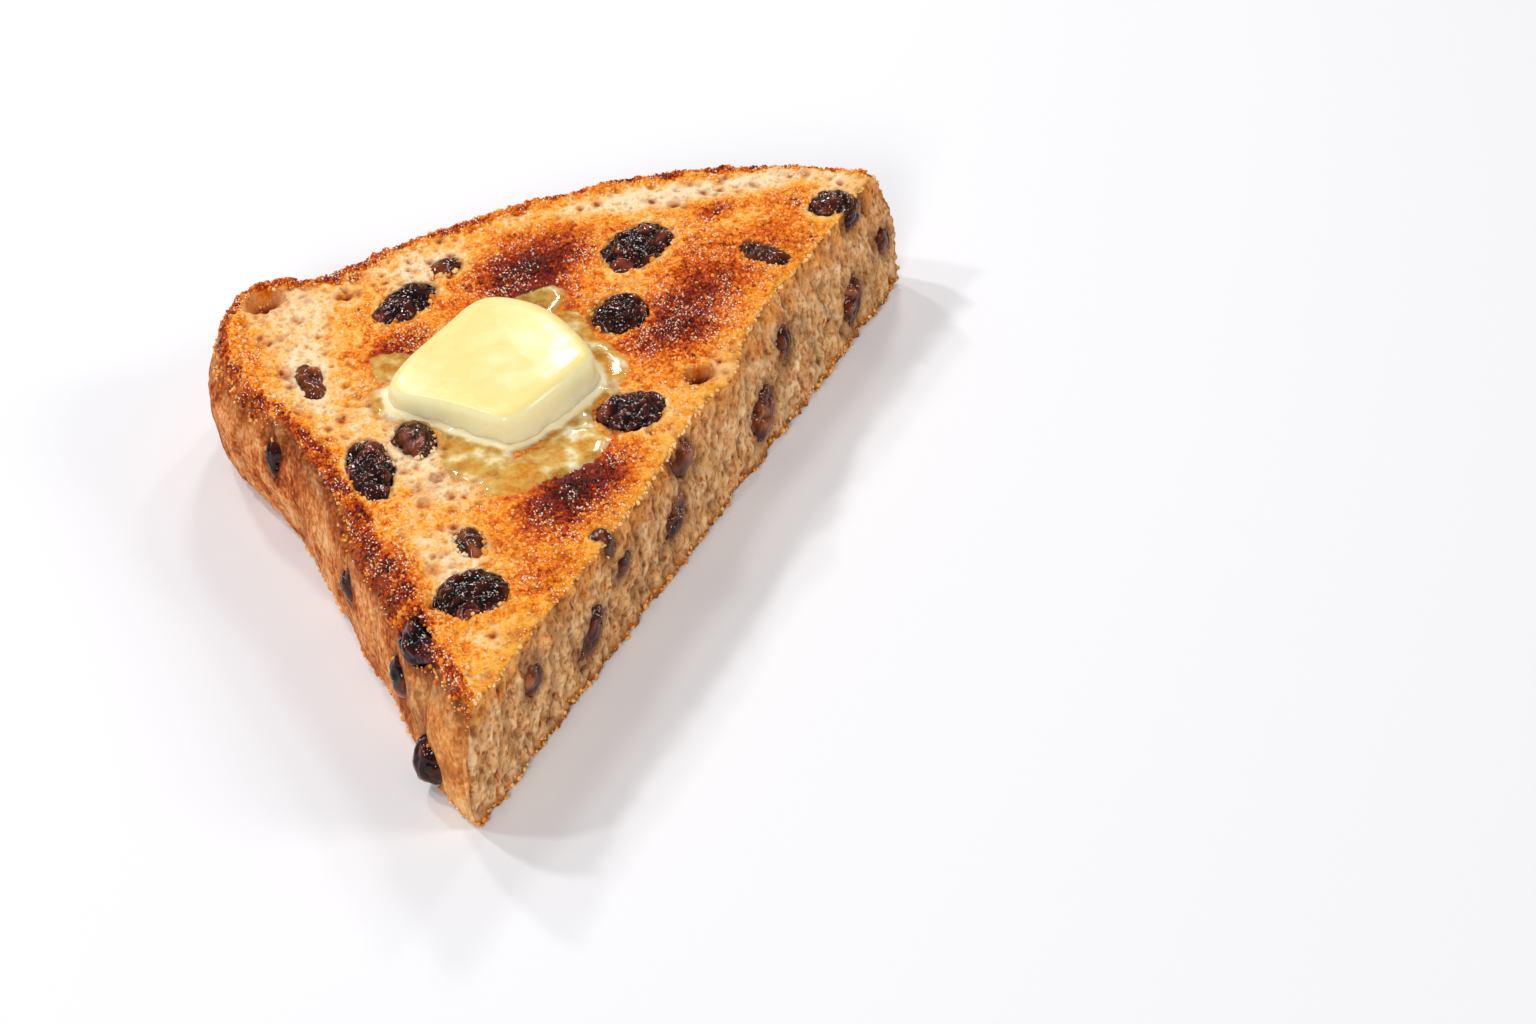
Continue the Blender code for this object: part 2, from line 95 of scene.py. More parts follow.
# The bread's low corner in the frame and in slice millimetres, and the step from the one to the other
BREAD_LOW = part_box("bread")[0]
SLICE_LOW = (-5.62, -1.01)
SHIFT = np.array([SLICE_LOW[0] - BREAD_LOW.x / MM, SLICE_LOW[1] - BREAD_LOW.y / MM, 0.0])
RAISIN_NODES = sorted(name for name in frame["nodes"] if name.startswith("raisin"))

# The cut, corner to corner, in slice millimetres
CUT_START = np.array([2.2, -0.4, 0.0])
CUT_END = np.array([108.4, 87.2, 0.0])
CUT_ALONG = (CUT_END - CUT_START) / np.linalg.norm(CUT_END - CUT_START)
CUT_OUT = np.array([CUT_ALONG[1], -CUT_ALONG[0], 0.0])
# The toasted edge is torn back from the cut: distance along the cut, and how far back
TORN_EDGE = (
    (0.0, 0.4), (50.0, 0.8), (56.0, 1.0), (61.0, 2.3), (73.0, 2.3), (76.5, 1.1), (80.5, 1.7), (87.0, 4.2),
    (96.0, 4.9), (110.0, 4.6), (128.0, 4.7), (138.0, 4.2),
)
# Heights where the tearing starts and where the toasted crumb lies
TORN_BOTTOM = 3.0
CRUMB_LEVEL = 19.3
SLICE_MIDDLE = np.array([52.0, 50.0])
# The crust's outline is read at this height, from this turn about the slice's middle onwards, in degrees
CRUST_HEIGHT = 8.0
CRUST_START = 30.0
# The crust darkens between these heights, along an edge that wanders up and down by so much
RIM_LOW, RIM_HIGH, RIM_SWAY = 13.5, 19.0, 6.0

# Juice ran from the raisin on the rim down the crust: how far up the slice, and how wide
JUICE_PLACE, JUICE_WIDTH = 16.0, 2.6
# How brown the raisins are, from 0 for nearly black to 1 for red-brown: some by name, the cut ones, the rest
BROWN_RAISINS = {
    "raisin_top_06": 0.4, "raisin_top_08": 0.9, "raisin_top_09": 0.4, "raisin_top_10": 0.4,
    "raisin_top_11": 0.9, "raisin_top_12": 0.6, "raisin_rim": 0.0,
}
CUT_TONE, SKIN_TONE = 0.75, 0.1
# How much further than the others the crust's raisins stand out
CRUST_SWELL = 0.4
# Spacing of the points on a raisin and on the pat, and the rounds of smoothing that ease each piece's edges
RAISIN_GRID, PAT_GRID = 0.26, 0.4
BREAD_ROUNDS, RAISIN_ROUNDS, PAT_ROUNDS = 5, 8, 20
# The pat's foot goes no lower than this
PAT_FOOT = 18.9
# Smallest and largest of the scattered grains' half widths; the drops of fat and the specks of sugar are
# painted pale as glints
GRAIN_SIZES = {
    "crisp_grains": (0.13, 0.36), "crust_beads": (0.13, 0.34), "glint_drops": (0.05, 0.16),
    "crumb_flakes": (0.16, 0.46), "sugar_glint_specks": (0.04, 0.13),
}
# Browner and paler places of the toasted face: x, y, half length, half width, turn in degrees, strength
TOASTED_PATCHES = (
    (46.0, 89.0, 9.5, 6.5, 10.0, 0.46), (59.5, 65.5, 11.0, 7.5, 25.0, 0.29),
    (69.0, 73.0, 13.0, 7.0, 32.0, 0.18), (28.2, 34.4, 8.0, 5.0, 20.0, 0.42),
    (37.5, 38.0, 8.0, 5.0, 30.0, 0.24), (20.3, 77.5, 4.5, 3.5, 20.0, 0.36),
    (22.5, 21.0, 6.5, 4.0, 20.0, 0.28), (83.0, 76.5, 9.0, 4.5, 35.0, 0.24),
    (88.0, 88.0, 8.0, 4.0, 20.0, 0.12), (4.8, 30.0, 2.8, 6.0, 0.0, 0.34),
    (77.0, 90.6, 3.4, 2.2, 10.0, 0.4), (14.0, 12.6, 2.6, 3.2, 30.0, 0.12),
    (68.0, 62.0, 8.0, 4.0, 35.0, 0.1), (7.0, 9.5, 2.0, 4.0, 90.0, 0.14),
)
PALE_PATCHES = (
    (7.4, 80.0, 5.0, 15.0, -4.0, 0.36), (63.0, 56.5, 8.0, 5.0, 39.0, 0.16),
    (13.0, 50.0, 6.5, 9.0, 0.0, 0.3), (76.0, 97.0, 23.0, 2.8, -9.0, 0.5),
    (31.0, 95.0, 9.0, 4.0, 12.0, 0.26), (9.0, 27.0, 4.6, 8.0, 0.0, 0.3),
    (99.0, 87.0, 6.0, 5.0, 30.0, 0.3), (18.5, 44.0, 6.0, 5.0, 0.0, 0.22),
    (15.0, 64.0, 5.0, 6.0, 0.0, 0.16), (13.0, 92.0, 7.0, 6.0, 0.0, 0.2),
    (7.0, 64.0, 3.5, 7.0, 0.0, 0.16), (79.0, 88.5, 9.0, 2.6, -12.0, 0.14),
    (12.0, 12.0, 6.0, 5.0, 40.0, 0.08),
)
# The bread's large open pores, painted dark as the shade inside them: x, y, half length, half width, turn,
# depth of painted shade
PORE_SHADE_PATCHES = (
    (7.0, 96.8, 3.2, 2.3, 35.0, 0.9), (57.6, 53.2, 2.5, 1.9, 20.0, 1.2), (11.8, 42.4, 1.3, 1.0, 60.0, 0.6),
    (15.2, 46.6, 1.3, 1.1, 0.0, 0.6), (67.0, 75.2, 1.2, 0.9, 30.0, 0.8),
)
# The melted butter's lobes round the pat: x, y, half length, half width, turn
MELT_LOBES = (
    (31.0, 62.0, 17.0, 14.0, 35.0), (22.0, 48.5, 6.0, 6.5, 30.0), (29.0, 43.5, 6.5, 4.0, 10.0),
    (34.5, 44.5, 9.0, 5.2, 32.0), (43.0, 79.0, 6.4, 4.6, 20.0), (36.0, 79.5, 7.0, 3.8, 10.0),
    (45.0, 71.0, 4.4, 8.0, 0.0), (18.5, 73.5, 4.6, 4.2, 30.0), (15.6, 65.0, 3.6, 6.0, 0.0),
    (42.0, 52.0, 7.0, 5.6, 50.0), (25.0, 42.0, 6.5, 4.2, 10.0), (46.0, 62.0, 8.0, 4.4, 90.0),
)
# The film's grid, between two corners on the toasted face, and the rounds that smooth its level
FILM_GRID, FILM_LOW, FILM_HIGH = 0.4, (9.0, 36.0), (54.0, 87.0)
FILM_ROUNDS = 24
# How far the film settles between the crumb's tips and how deep it goes, and its lip along the pat
FILM_SINK, FILM_DEPTH = 0.46, 0.7
LIP_HEIGHT, LIP_REACH = 0.55, 1.5

# The camera, in slice millimetres: it looks along the slice's north-east, well down onto the toasted face
CAMERA_PLACE = (-81.0, -264.6, 275.4)
CAMERA_TURN = -25.2
CAMERA_TILT = 39.1
CAMERA_LENS = 70.43
CAMERA_SENSOR = 36.0
# The soft square lights: name, place and width in metres, share of the light power, colour
LIGHTS = (
    ("key", (-0.3, 0.42, 0.62), 0.06, 1.5, "#FFFFFF"),
    ("key left", (-0.46, 0.2, 0.6), 0.06, 1.0, "#FFFFFF"),
    ("key back", (-0.1, 0.6, 0.52), 0.06, 1.1, "#FFFFFF"),
    ("fill", (0.5, -0.3, 0.4), 0.2, 1.4, "#FFFAF4"),
    ("front", (-0.4, -0.55, 0.4), 0.2, 2.6, "#FFFFFF"),
    ("gleam", (0.25, 0.53, 0.47), 0.09, 1.0, "#FFFFFF"),
    ("gleam right", (0.42, 0.4, 0.5), 0.05, 0.5, "#FFFFFF"),
)
# A mix node's sockets for colours: the share, the colour below, the colour above, and the result
SHARE, BELOW, ABOVE, MIXED = 0, 6, 7, 2


class BreadSettings(bpy.types.PropertyGroup):
    """Sizes, numbers and colours of the bread and of the grains on it"""
    grid: FloatProperty(
        name="Crumb grid", description="Spacing of the bread's surface points",
        default=0.4 * MM, unit="LENGTH")
    crumb_relief: FloatProperty(
        name="Crumb relief", description="Height of the toasted crumb's grains",
        default=0.3 * MM, unit="LENGTH")
    torn_relief: FloatProperty(
        name="Torn relief", description="Height of the torn crumb on the cut face",
        default=0.42 * MM, unit="LENGTH")
    grains: IntProperty(
        name="Crisp grains", description="How many crisp grains lie on the toasted face", default=9500)
    beads: IntProperty(
        name="Crust beads", description="How many beads of crust stand on the rim and foot", default=2200)
    # Drops of fat painted pale as glints
    drops: IntProperty(
        name="Glint drops", description="How many pale drops of fat are painted as glints", default=5000)
    # Sugar on the raisins, painted pale as glints
    crystals: IntProperty(
        name="Sugar glint specks", description="How many specks of sugar, painted as glints, lie on the raisins", default=3400)
    flake_tries: IntProperty(
        name="Crumb flakes", description="How many places on each raisin may hold a flake", default=700)
    crumb_colour: StringProperty(
        name="Crumb", description="Colour of the untoasted crumb, in sRGB hex", default="#F2BF85")
    crust_colour: StringProperty(
        name="Crust", description="Colour of the baked crust's side, in sRGB hex", default="#EA9A58")


class RaisinSettings(bpy.types.PropertyGroup):
    """Sizes and colour of the raisins"""
    swell: FloatProperty(
        name="Swell", description="How far a raisin fills its hollow", default=0.34 * MM, unit="LENGTH")
    wrinkle: FloatProperty(
        name="Wrinkle depth", description="Depth of the skin's folds", default=0.72 * MM, unit="LENGTH")
    skin_colour: StringProperty(
        name="Skin", description="Colour of the raisin's skin, in sRGB hex", default="#190505")


class ButterSettings(bpy.types.PropertyGroup):
    """Thickness and colour of the butter"""
    film: FloatProperty(
        name="Film", description="Thickness of the melted butter", default=0.42 * MM, unit="LENGTH")
    butter_colour: StringProperty(
        name="Butter", description="Colour of the soft butter, in sRGB hex", default="#F8E298")


class StageSettings(bpy.types.PropertyGroup):
    """Colour of the floor and power of the lights"""
    floor_colour: StringProperty(
        name="Floor", description="Colour of the plain floor, in sRGB hex", default="#ECECEF")
    light_power: FloatProperty(
        name="Light power", description="Power that each light has its share of", default=1.0,
        unit="POWER")


def linear(hex_colour):
    """An sRGB hex value as a linear colour."""
    channels = [int(hex_colour[start:start + 2], 16) / 255.0 for start in (1, 3, 5)]
    bright = [c / 12.92 if c <= 0.04045 else ((c + 0.055) / 1.055) ** 2.4 for c in channels]
    return (*bright, 1.0)


def set_inputs(node, inputs):
    """Link inputs, by name or in order, to their sources, or set them, hex colours as linear ones."""
    pairs = inputs.items() if isinstance(inputs, dict) else enumerate(inputs)
    for name, source in pairs:
        if isinstance(source, bpy.types.NodeSocket):
            node.id_data.links.new(source, node.inputs[name])
        else:
            node.inputs[name].default_value = linear(source) if isinstance(source, str) else source


def add_node(material, kind, inputs=(), output=0, stops=(), **settings):
    """One output of a new shader node with the given inputs, settings and colour stops."""
    node = material.node_tree.nodes.new("ShaderNode" + kind)
    for key, value in settings.items():
        setattr(node, key, value)
    while stops and len(node.color_ramp.elements) < len(stops):
        node.color_ramp.elements.new(0.5)
    for index, (place, colour) in enumerate(stops):
        node.color_ramp.elements[index].position = place
        node.color_ramp.elements[index].color = linear(colour)
    set_inputs(node, inputs)
    return node.outputs[output]


def new_material(name):
    """An empty Principled material, and its shader."""
    material = bpy.data.materials.new(name)
    material.use_nodes = True
    return material, material.node_tree.nodes["Principled BSDF"]


def smooth(low, high, values):
    """Zero below low, one above high, and smooth between; low may be the larger."""
    share = np.clip((values - low) / (high - low), 0.0, 1.0)
    return share * share * (3.0 - 2.0 * share)


def noise_at(points, size, seed, stretch=(1.0, 1.0, 1.0)):
    """Smooth noise from about -1 to 1 at points in millimetres, with lumps of the given size."""
    scaled = points * (np.array(stretch) / size) + seed
    return np.array([noise.noise(point) for point in scaled.tolist()]) * 1.6


def folds_at(points, size, seed, stretch=(1.0, 1.0, 1.0)):
    """Noise with sharp crests, from 0 in the folds to 1 on the crests."""
    return 1.0 - np.clip(np.abs(noise_at(points, size, seed, stretch)) * 1.5, 0.0, 1.0)


def pores_at(points, spacing, seed, stretch=(1.0, 1.0, 1.0)):
    """Round pores of uneven size: 0 between them and up to 1 at a pore's middle."""
    scaled = points * (np.array(stretch) / spacing) + seed
    depth = []
    for point in scaled.tolist():
        distances, centres = noise.voronoi(point)
        size = 0.18 + 0.42 * abs(noise.cell(centres[0] * 9.7))
        depth.append(max(0.0, 1.0 - distances[0] / size))
    return np.array(depth)


def read_points(mesh):
    """The mesh's points, in slice millimetres."""
    flat = np.zeros(len(mesh.vertices) * 3, np.float32)
    mesh.vertices.foreach_get("co", flat)
    return flat.reshape(-1, 3).astype(float) / MM + SHIFT


def write_points(mesh, points):
    """Move the mesh's points to the given slice millimetres."""
    mesh.vertices.foreach_set("co", ((points - SHIFT) * MM).astype(np.float32).ravel())
    mesh.update()


def read_normals(mesh):
    """The way outwards at each of the mesh's points."""
    flat = np.zeros(len(mesh.vertices) * 3, np.float32)
    mesh.vertices.foreach_get("normal", flat)
    return flat.reshape(-1, 3).astype(float)


def add_attribute(mesh, name, values):
    """Store one number for each point, which the material reads by name."""
    attribute = mesh.attributes.new(name, "FLOAT", "POINT")
    attribute.data.foreach_set("value", np.asarray(values, np.float32))


def read_attribute(mesh, name):
    """The numbers that add_attribute stored."""
    values = np.zeros(len(mesh.vertices), np.float32)
    mesh.attributes[name].data.foreach_get("value", values)
    return values


def surface_of(name):
    """A made piece's surface, for finding what lies nearest or below."""
    mesh = bpy.data.objects[name].data
    return BVHTree.FromPolygons([v.co for v in mesh.vertices], [p.vertices for p in mesh.polygons])


def add_piece(name, mesh, material):
    """A smooth-shaded object that rides on the toast."""
    piece = bpy.data.objects.new(name, mesh)
    bpy.context.scene.collection.objects.link(piece)
    mesh.materials.clear()
    mesh.materials.append(material)
    mesh.shade_smooth()
    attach(piece, "root")
    return piece


def remeshed(name, node, grid, rounds):
    """A copy of a node's mesh, its points spaced evenly and its edges eased by rounds of smoothing."""
    shape = bmesh.new()
    shape.from_mesh(frame["nodes"][node].data)
    bmesh.ops.remove_doubles(shape, verts=shape.verts[:], dist=0.002 * MM)
    mesh = bpy.data.meshes.new(name)
    shape.to_mesh(mesh)
    shape.free()
    helper = bpy.data.objects.new(name, mesh)
    bpy.context.scene.collection.objects.link(helper)
    remesh = helper.modifiers.new("remesh", "REMESH")
    remesh.mode = "VOXEL"
    remesh.voxel_size = grid
    ease = helper.modifiers.new("ease", "SMOOTH")
    ease.factor = 0.5
    ease.iterations = rounds
    graph = bpy.context.evaluated_depsgraph_get()
    result = bpy.data.meshes.new_from_object(helper.evaluated_get(graph))
    bpy.data.objects.remove(helper)
    bpy.data.meshes.remove(mesh)
    result.name = name
    return result


def cut_depth(points):
    """How far each point stands beyond the cut face, and beyond the toasted edge at its top."""
    away = points - CUT_START
    set_back = np.interp(away @ CUT_ALONG, *np.array(TORN_EDGE).T)
    share = np.clip((points[:, 2] - TORN_BOTTOM) / (CRUMB_LEVEL - TORN_BOTTOM), 0.0, 1.0)
    return away @ CUT_OUT + set_back * share, away @ CUT_OUT + set_back


def crust_line():
    """The crust's outline at CRUST_HEIGHT, read from the bread's solid, from one end of the cut round to the
    other."""
    solid = frame["nodes"]["bread"].data
    points, normals = read_points(solid), read_normals(solid)
    away = points[:, :2] - SLICE_MIDDLE
    distance = np.linalg.norm(away, axis=1)
    facing = (normals[:, :2] * away).sum(1) / distance
    at_height = np.abs(points[:, 2] - CRUST_HEIGHT) < 0.02
    ring = np.nonzero(at_height & (facing > 0.35) & (cut_depth(points)[0] < -1.2))[0]
    angle = (np.degrees(np.arctan2(away[:, 1], away[:, 0])) - CRUST_START) % 360.0
    outermost = {}
    for index in ring[np.argsort(distance[ring])]:
        outermost[round(angle[index] / 2.0)] = index
    line = np.array([points[outermost[place], :2] for place in sorted(outermost)])
    return line[np.linalg.norm(line - np.roll(line, 1, axis=0), axis=1) > 0.05]


def crust_distance(points):
    """How far each point lies inside the crust's outline, and the way outwards there."""
    line = crust_line()
    dense = np.concatenate([np.linspace(a, b, 12, endpoint=False) for a, b in zip(line, line[1:])])
    along = np.gradient(dense, axis=0)
    outward = np.stack([-along[:, 1], along[:, 0]], 1)
    outward /= np.linalg.norm(outward, axis=1)[:, None]
    outward *= np.sign(((dense - SLICE_MIDDLE) * outward).sum(1))[:, None]
    tree = kdtree.KDTree(len(dense))
    for index, (x, y) in enumerate(dense):
        tree.insert((x, y, 0.0), index)
    tree.balance()
    nearest = np.array([tree.find((x, y, 0.0))[1] for x, y in points[:, :2].tolist()])
    gap = dense[nearest] - points[:, :2]
    return (gap * outward[nearest]).sum(1), outward[nearest]


def ellipse_reach(points, x, y, half_length, half_width, turn):
    """How far out each point is from an ellipse's middle, squared, with 1 on the ellipse."""
    angle = math.radians(turn)
    dx, dy = points[:, 0] - x, points[:, 1] - y
    along = (dx * math.cos(angle) + dy * math.sin(angle)) / half_length
    across = (dy * math.cos(angle) - dx * math.sin(angle)) / half_width
    return along ** 2 + across ** 2


def patch_sum(points, patches):
    """Sum of soft-edged elliptical patches at each point."""
    total = np.zeros(len(points))
    for *ellipse, strength in patches:
        total += strength * np.exp(-ellipse_reach(points, *ellipse))
    return total


def melt_field(points):
    """How much melted butter lies at each point: above zero inside the film."""
    total = np.zeros(len(points))
    for lobe in MELT_LOBES:
        total = np.maximum(total, 1.15 - np.sqrt(ellipse_reach(points, *lobe)))
    flat = points * FLAT
    return total - 0.15 + 0.1 * noise_at(flat, 2.6, 5.0) + 0.05 * noise_at(flat, 1.1, 9.0)


def raisin_stain(points):
    """How near each point is to a raisin: 1 at its skin and 0 beyond about two millimetres."""
    stain = np.zeros(len(points))
    for name in RAISIN_NODES:
        own = read_points(frame["nodes"][name].data)
        middle = (own.min(0) + own.max(0)) / 2.0
        _, _, axes = np.linalg.svd(own - own.mean(0), full_matrices=False)
        halves = np.abs((own - middle) @ axes.T).max(0)
        near = np.abs(points - middle).max(1) < halves.max() + 3.0
        reach = np.linalg.norm(((points[near] - middle) @ axes.T) / (halves + 0.2), axis=1)
        stain[near] = np.maximum(stain[near], smooth(1.0 + 2.0 / halves.mean(), 1.0, reach))
    return stain


def bread_regions(points, normals):
    """Masks of the bread's faces, from 0 to 1, and the distance in from the crust's outline."""
    inside, outward = crust_distance(points)
    depth, beyond = cut_depth(points)
    cut = smooth(0.5, 0.8, normals @ CUT_OUT) * smooth(-2.6, -1.4, depth)
    top = smooth(0.35, 0.75, normals[:, 2]) * smooth(14.0, 17.5, points[:, 2])
    base = smooth(0.35, 0.8, -normals[:, 2]) * smooth(2.5, 1.0, points[:, 2])
    facing = (normals[:, :2] * outward).sum(1)
    crust = smooth(0.1, 0.5, facing) * smooth(6.5, 4.5, inside) * (1.0 - cut)
    crust *= 1.0 - top
    return {"inside": inside, "beyond": beyond, "cut": cut, "top": top, "base": base, "crust": crust}


def toast_level(points, region, stain):
    """How brown the toasted face is, from 0 for pale crumb to 1 for nearly burnt."""
    flat = points * FLAT
    wave = partial(noise_at, flat)
    level = 0.39 + 0.1 * wave(13.0, 2.0) + 0.06 * wave(5.0, 7.0) + 0.04 * wave(2.2, 4.0)
    level += patch_sum(flat, TOASTED_PATCHES) - patch_sum(flat, PALE_PATCHES)
    level -= 0.16 * stain * (0.8 + 0.4 * wave(1.6, 25.0))
    straight = smooth(66.0, 56.0, points[:, 1])
    width = 4.3 + 0.7 * straight + 0.8 * wave(4.0, 27.0)
    rim = smooth(-0.3, 1.3, width - region["inside"])
    scorched = 0.63 + 0.06 * straight + 0.16 * wave(3.0, 21.0) + 0.08 * wave(1.0, 22.0)
    level = np.maximum(level, rim * scorched)
    return np.clip(level - 0.13 * smooth(-9.0, -2.0, region["beyond"]), 0.0, 1.0)


def shape_bread(mesh, settings):
    """Raise the crumb's grains, open its pores and wrinkle the crust, and note what the material needs."""
    points, normals = read_points(mesh), read_normals(mesh)
    region = bread_regions(points, normals)
    top, cut, crust, base, inside = (region[name] for name in ("top", "cut", "crust", "base", "inside"))
    height = points[:, 2]
    wave, fold, pore = (partial(kind, points) for kind in (noise_at, folds_at, pores_at))
    stain = raisin_stain(points)
    toast = toast_level(points, region, stain)
    melt = melt_field(points)
    wet = smooth(-0.12, 0.12, melt) * top
    under_pat = smooth(0.3, 0.6, melt - 0.2)
    calm = 1.0 - np.maximum(0.7 * wet, 0.8 * under_pat)

    # The toasted face: grains, small pores, and large ones in places, calmer under the butter
    grain = 0.6 * wave(0.95, 3.0) + 0.4 * fold(1.5, 8.0) - 0.2
    small_pores = pore(2.1, 1.0)
    large_pores = pore(4.6, 6.0) * smooth(-0.1, 0.5, wave(9.0, 14.0))
    pale = 1.0 - smooth(0.2, 0.5, toast)
    top_lift = calm * (settings.crumb_relief / MM * grain + 0.16 * wave(3.2, 5.0))
    top_lift -= (0.08 + 0.42 * pale) * small_pores * (1.0 - under_pat)
    top_lift -= (0.2 + 0.9 * pale) * large_pores * (1.0 - under_pat)

    # The torn cut: crumb drawn taller than wide, with a bead of crust along its foot
    upright = (1.0, 1.0, 0.62)
    torn = 0.35 * wave(2.6, 11.0, upright) + 0.55 * fold(1.5, 15.0, upright)
    torn += 0.6 * wave(0.9, 18.0, upright)
    torn += 0.5 * smooth(55.0, 65.0, (points - CUT_START) @ CUT_ALONG) * wave(4.0, 20.0)
    cut_pores = pore(1.7, 23.0, upright)
    wide_pores = pore(4.4, 27.0, upright) * smooth(-0.3, 0.3, wave(8.0, 31.0))
    cut_lift = settings.torn_relief / MM * (torn - 0.25) - 0.75 * cut_pores - 1.3 * wide_pores
    cut_lift += smooth(2.0, 0.7, height) * (0.25 + 0.35 * wave(1.3, 35.0))

    # The crust: fine and broad waves, creases, and beads along its upper edge and foot
    crust_lift = 0.12 * wave(1.1, 41.0, (1.0, 1.0, 0.35)) + 0.3 * wave(8.0, 44.0)
    crust_lift += 0.1 * fold(2.2, 47.0, (1.0, 1.0, 0.3))
    crease = smooth(0.8, 0.97, fold(11.0, 49.0, (1.0, 1.0, 0.2)))
    crust_lift -= 0.45 * crease * smooth(1.0, 4.0, height)
    crust_lift += smooth(15.5, 18.0, height) * (0.3 * wave(1.5, 51.0) + 0.2 * wave(0.8, 53.0))
    crust_lift += smooth(1.6, 0.4, height) * 0.3 * wave(1.2, 57.0)
    rim_top = smooth(5.0, 3.4, inside) * top
    top_lift += rim_top * (0.2 * wave(1.3, 61.0) + 0.12)

    lift = (top * top_lift + cut * cut_lift + crust * crust_lift) * (1.0 - base)
    moved = points + normals * lift[:, None]
    base_lift = 0.12 * base * np.clip(wave(1.0, 65.0) + 0.4, 0.0, 2.0)
    moved[:, 2] = np.maximum(moved[:, 2] + base_lift, 0.0)
    write_points(mesh, moved)

    # What the material reads
    # Painted shade in the pores, deepest in the large open ones
    pores = top * np.maximum(small_pores * (0.15 + 0.85 * pale), large_pores * (0.3 + 0.7 * pale))
    pores += cut * np.maximum(cut_pores, wide_pores)
    shade = patch_sum(points, PORE_SHADE_PATCHES) * (1.0 - crust)
    juice = np.exp(-((points[:, 1] - JUICE_PLACE) / JUICE_WIDTH) ** 2) * smooth(12.0, 8.0, points[:, 0])
    juice *= smooth(3.0, 7.0, height) * (0.6 + 0.6 * wave(1.6, 67.0))
    # On the crust: juice stains, with painted shade round the raisins and in the creases
    side_stain_and_crease_shade = np.clip(np.maximum(stain, juice) + 0.45 * crease, 0.0, 1.0)
    facts = {
        "toast": toast, "wet": wet, "rim": rim_top, "cut": cut, "top": top, "base": base, "crust": crust,
        # Painted shade in the pores
        "pore": np.maximum(pores, np.clip(shade, 0.0, 1.0)),
        # The relief's height, which the material also paints as shade in its dips
        "grain": 0.5 + 0.5 * (top * grain + cut * torn),
        # On the toasted face a thin dark line along each raisin's edge, as painted shade; on the sides juice
        # stains and painted shade
        "stain": np.where(top > 0.5, 0.8 * smooth(0.8, 1.0, stain), side_stain_and_crease_shade),
        "edge": smooth(-6.0, 0.5, region["beyond"] + 1.6 * wave(4.0, 71.0)),
        "skin": smooth(1.9, 0.5, np.minimum(inside, moved[:, 2])),
        "gold": 0.75 * smooth(13.0, 18.5, height + 2.0 * wave(3.0, 73.0)),
        # Painted light on the crust towards the slice's tip
        "tip_light": 0.3 * smooth(26.0, 4.0, points[:, 0] + points[:, 1]),
    }
    for name, values in facts.items():
        add_attribute(mesh, name, values)


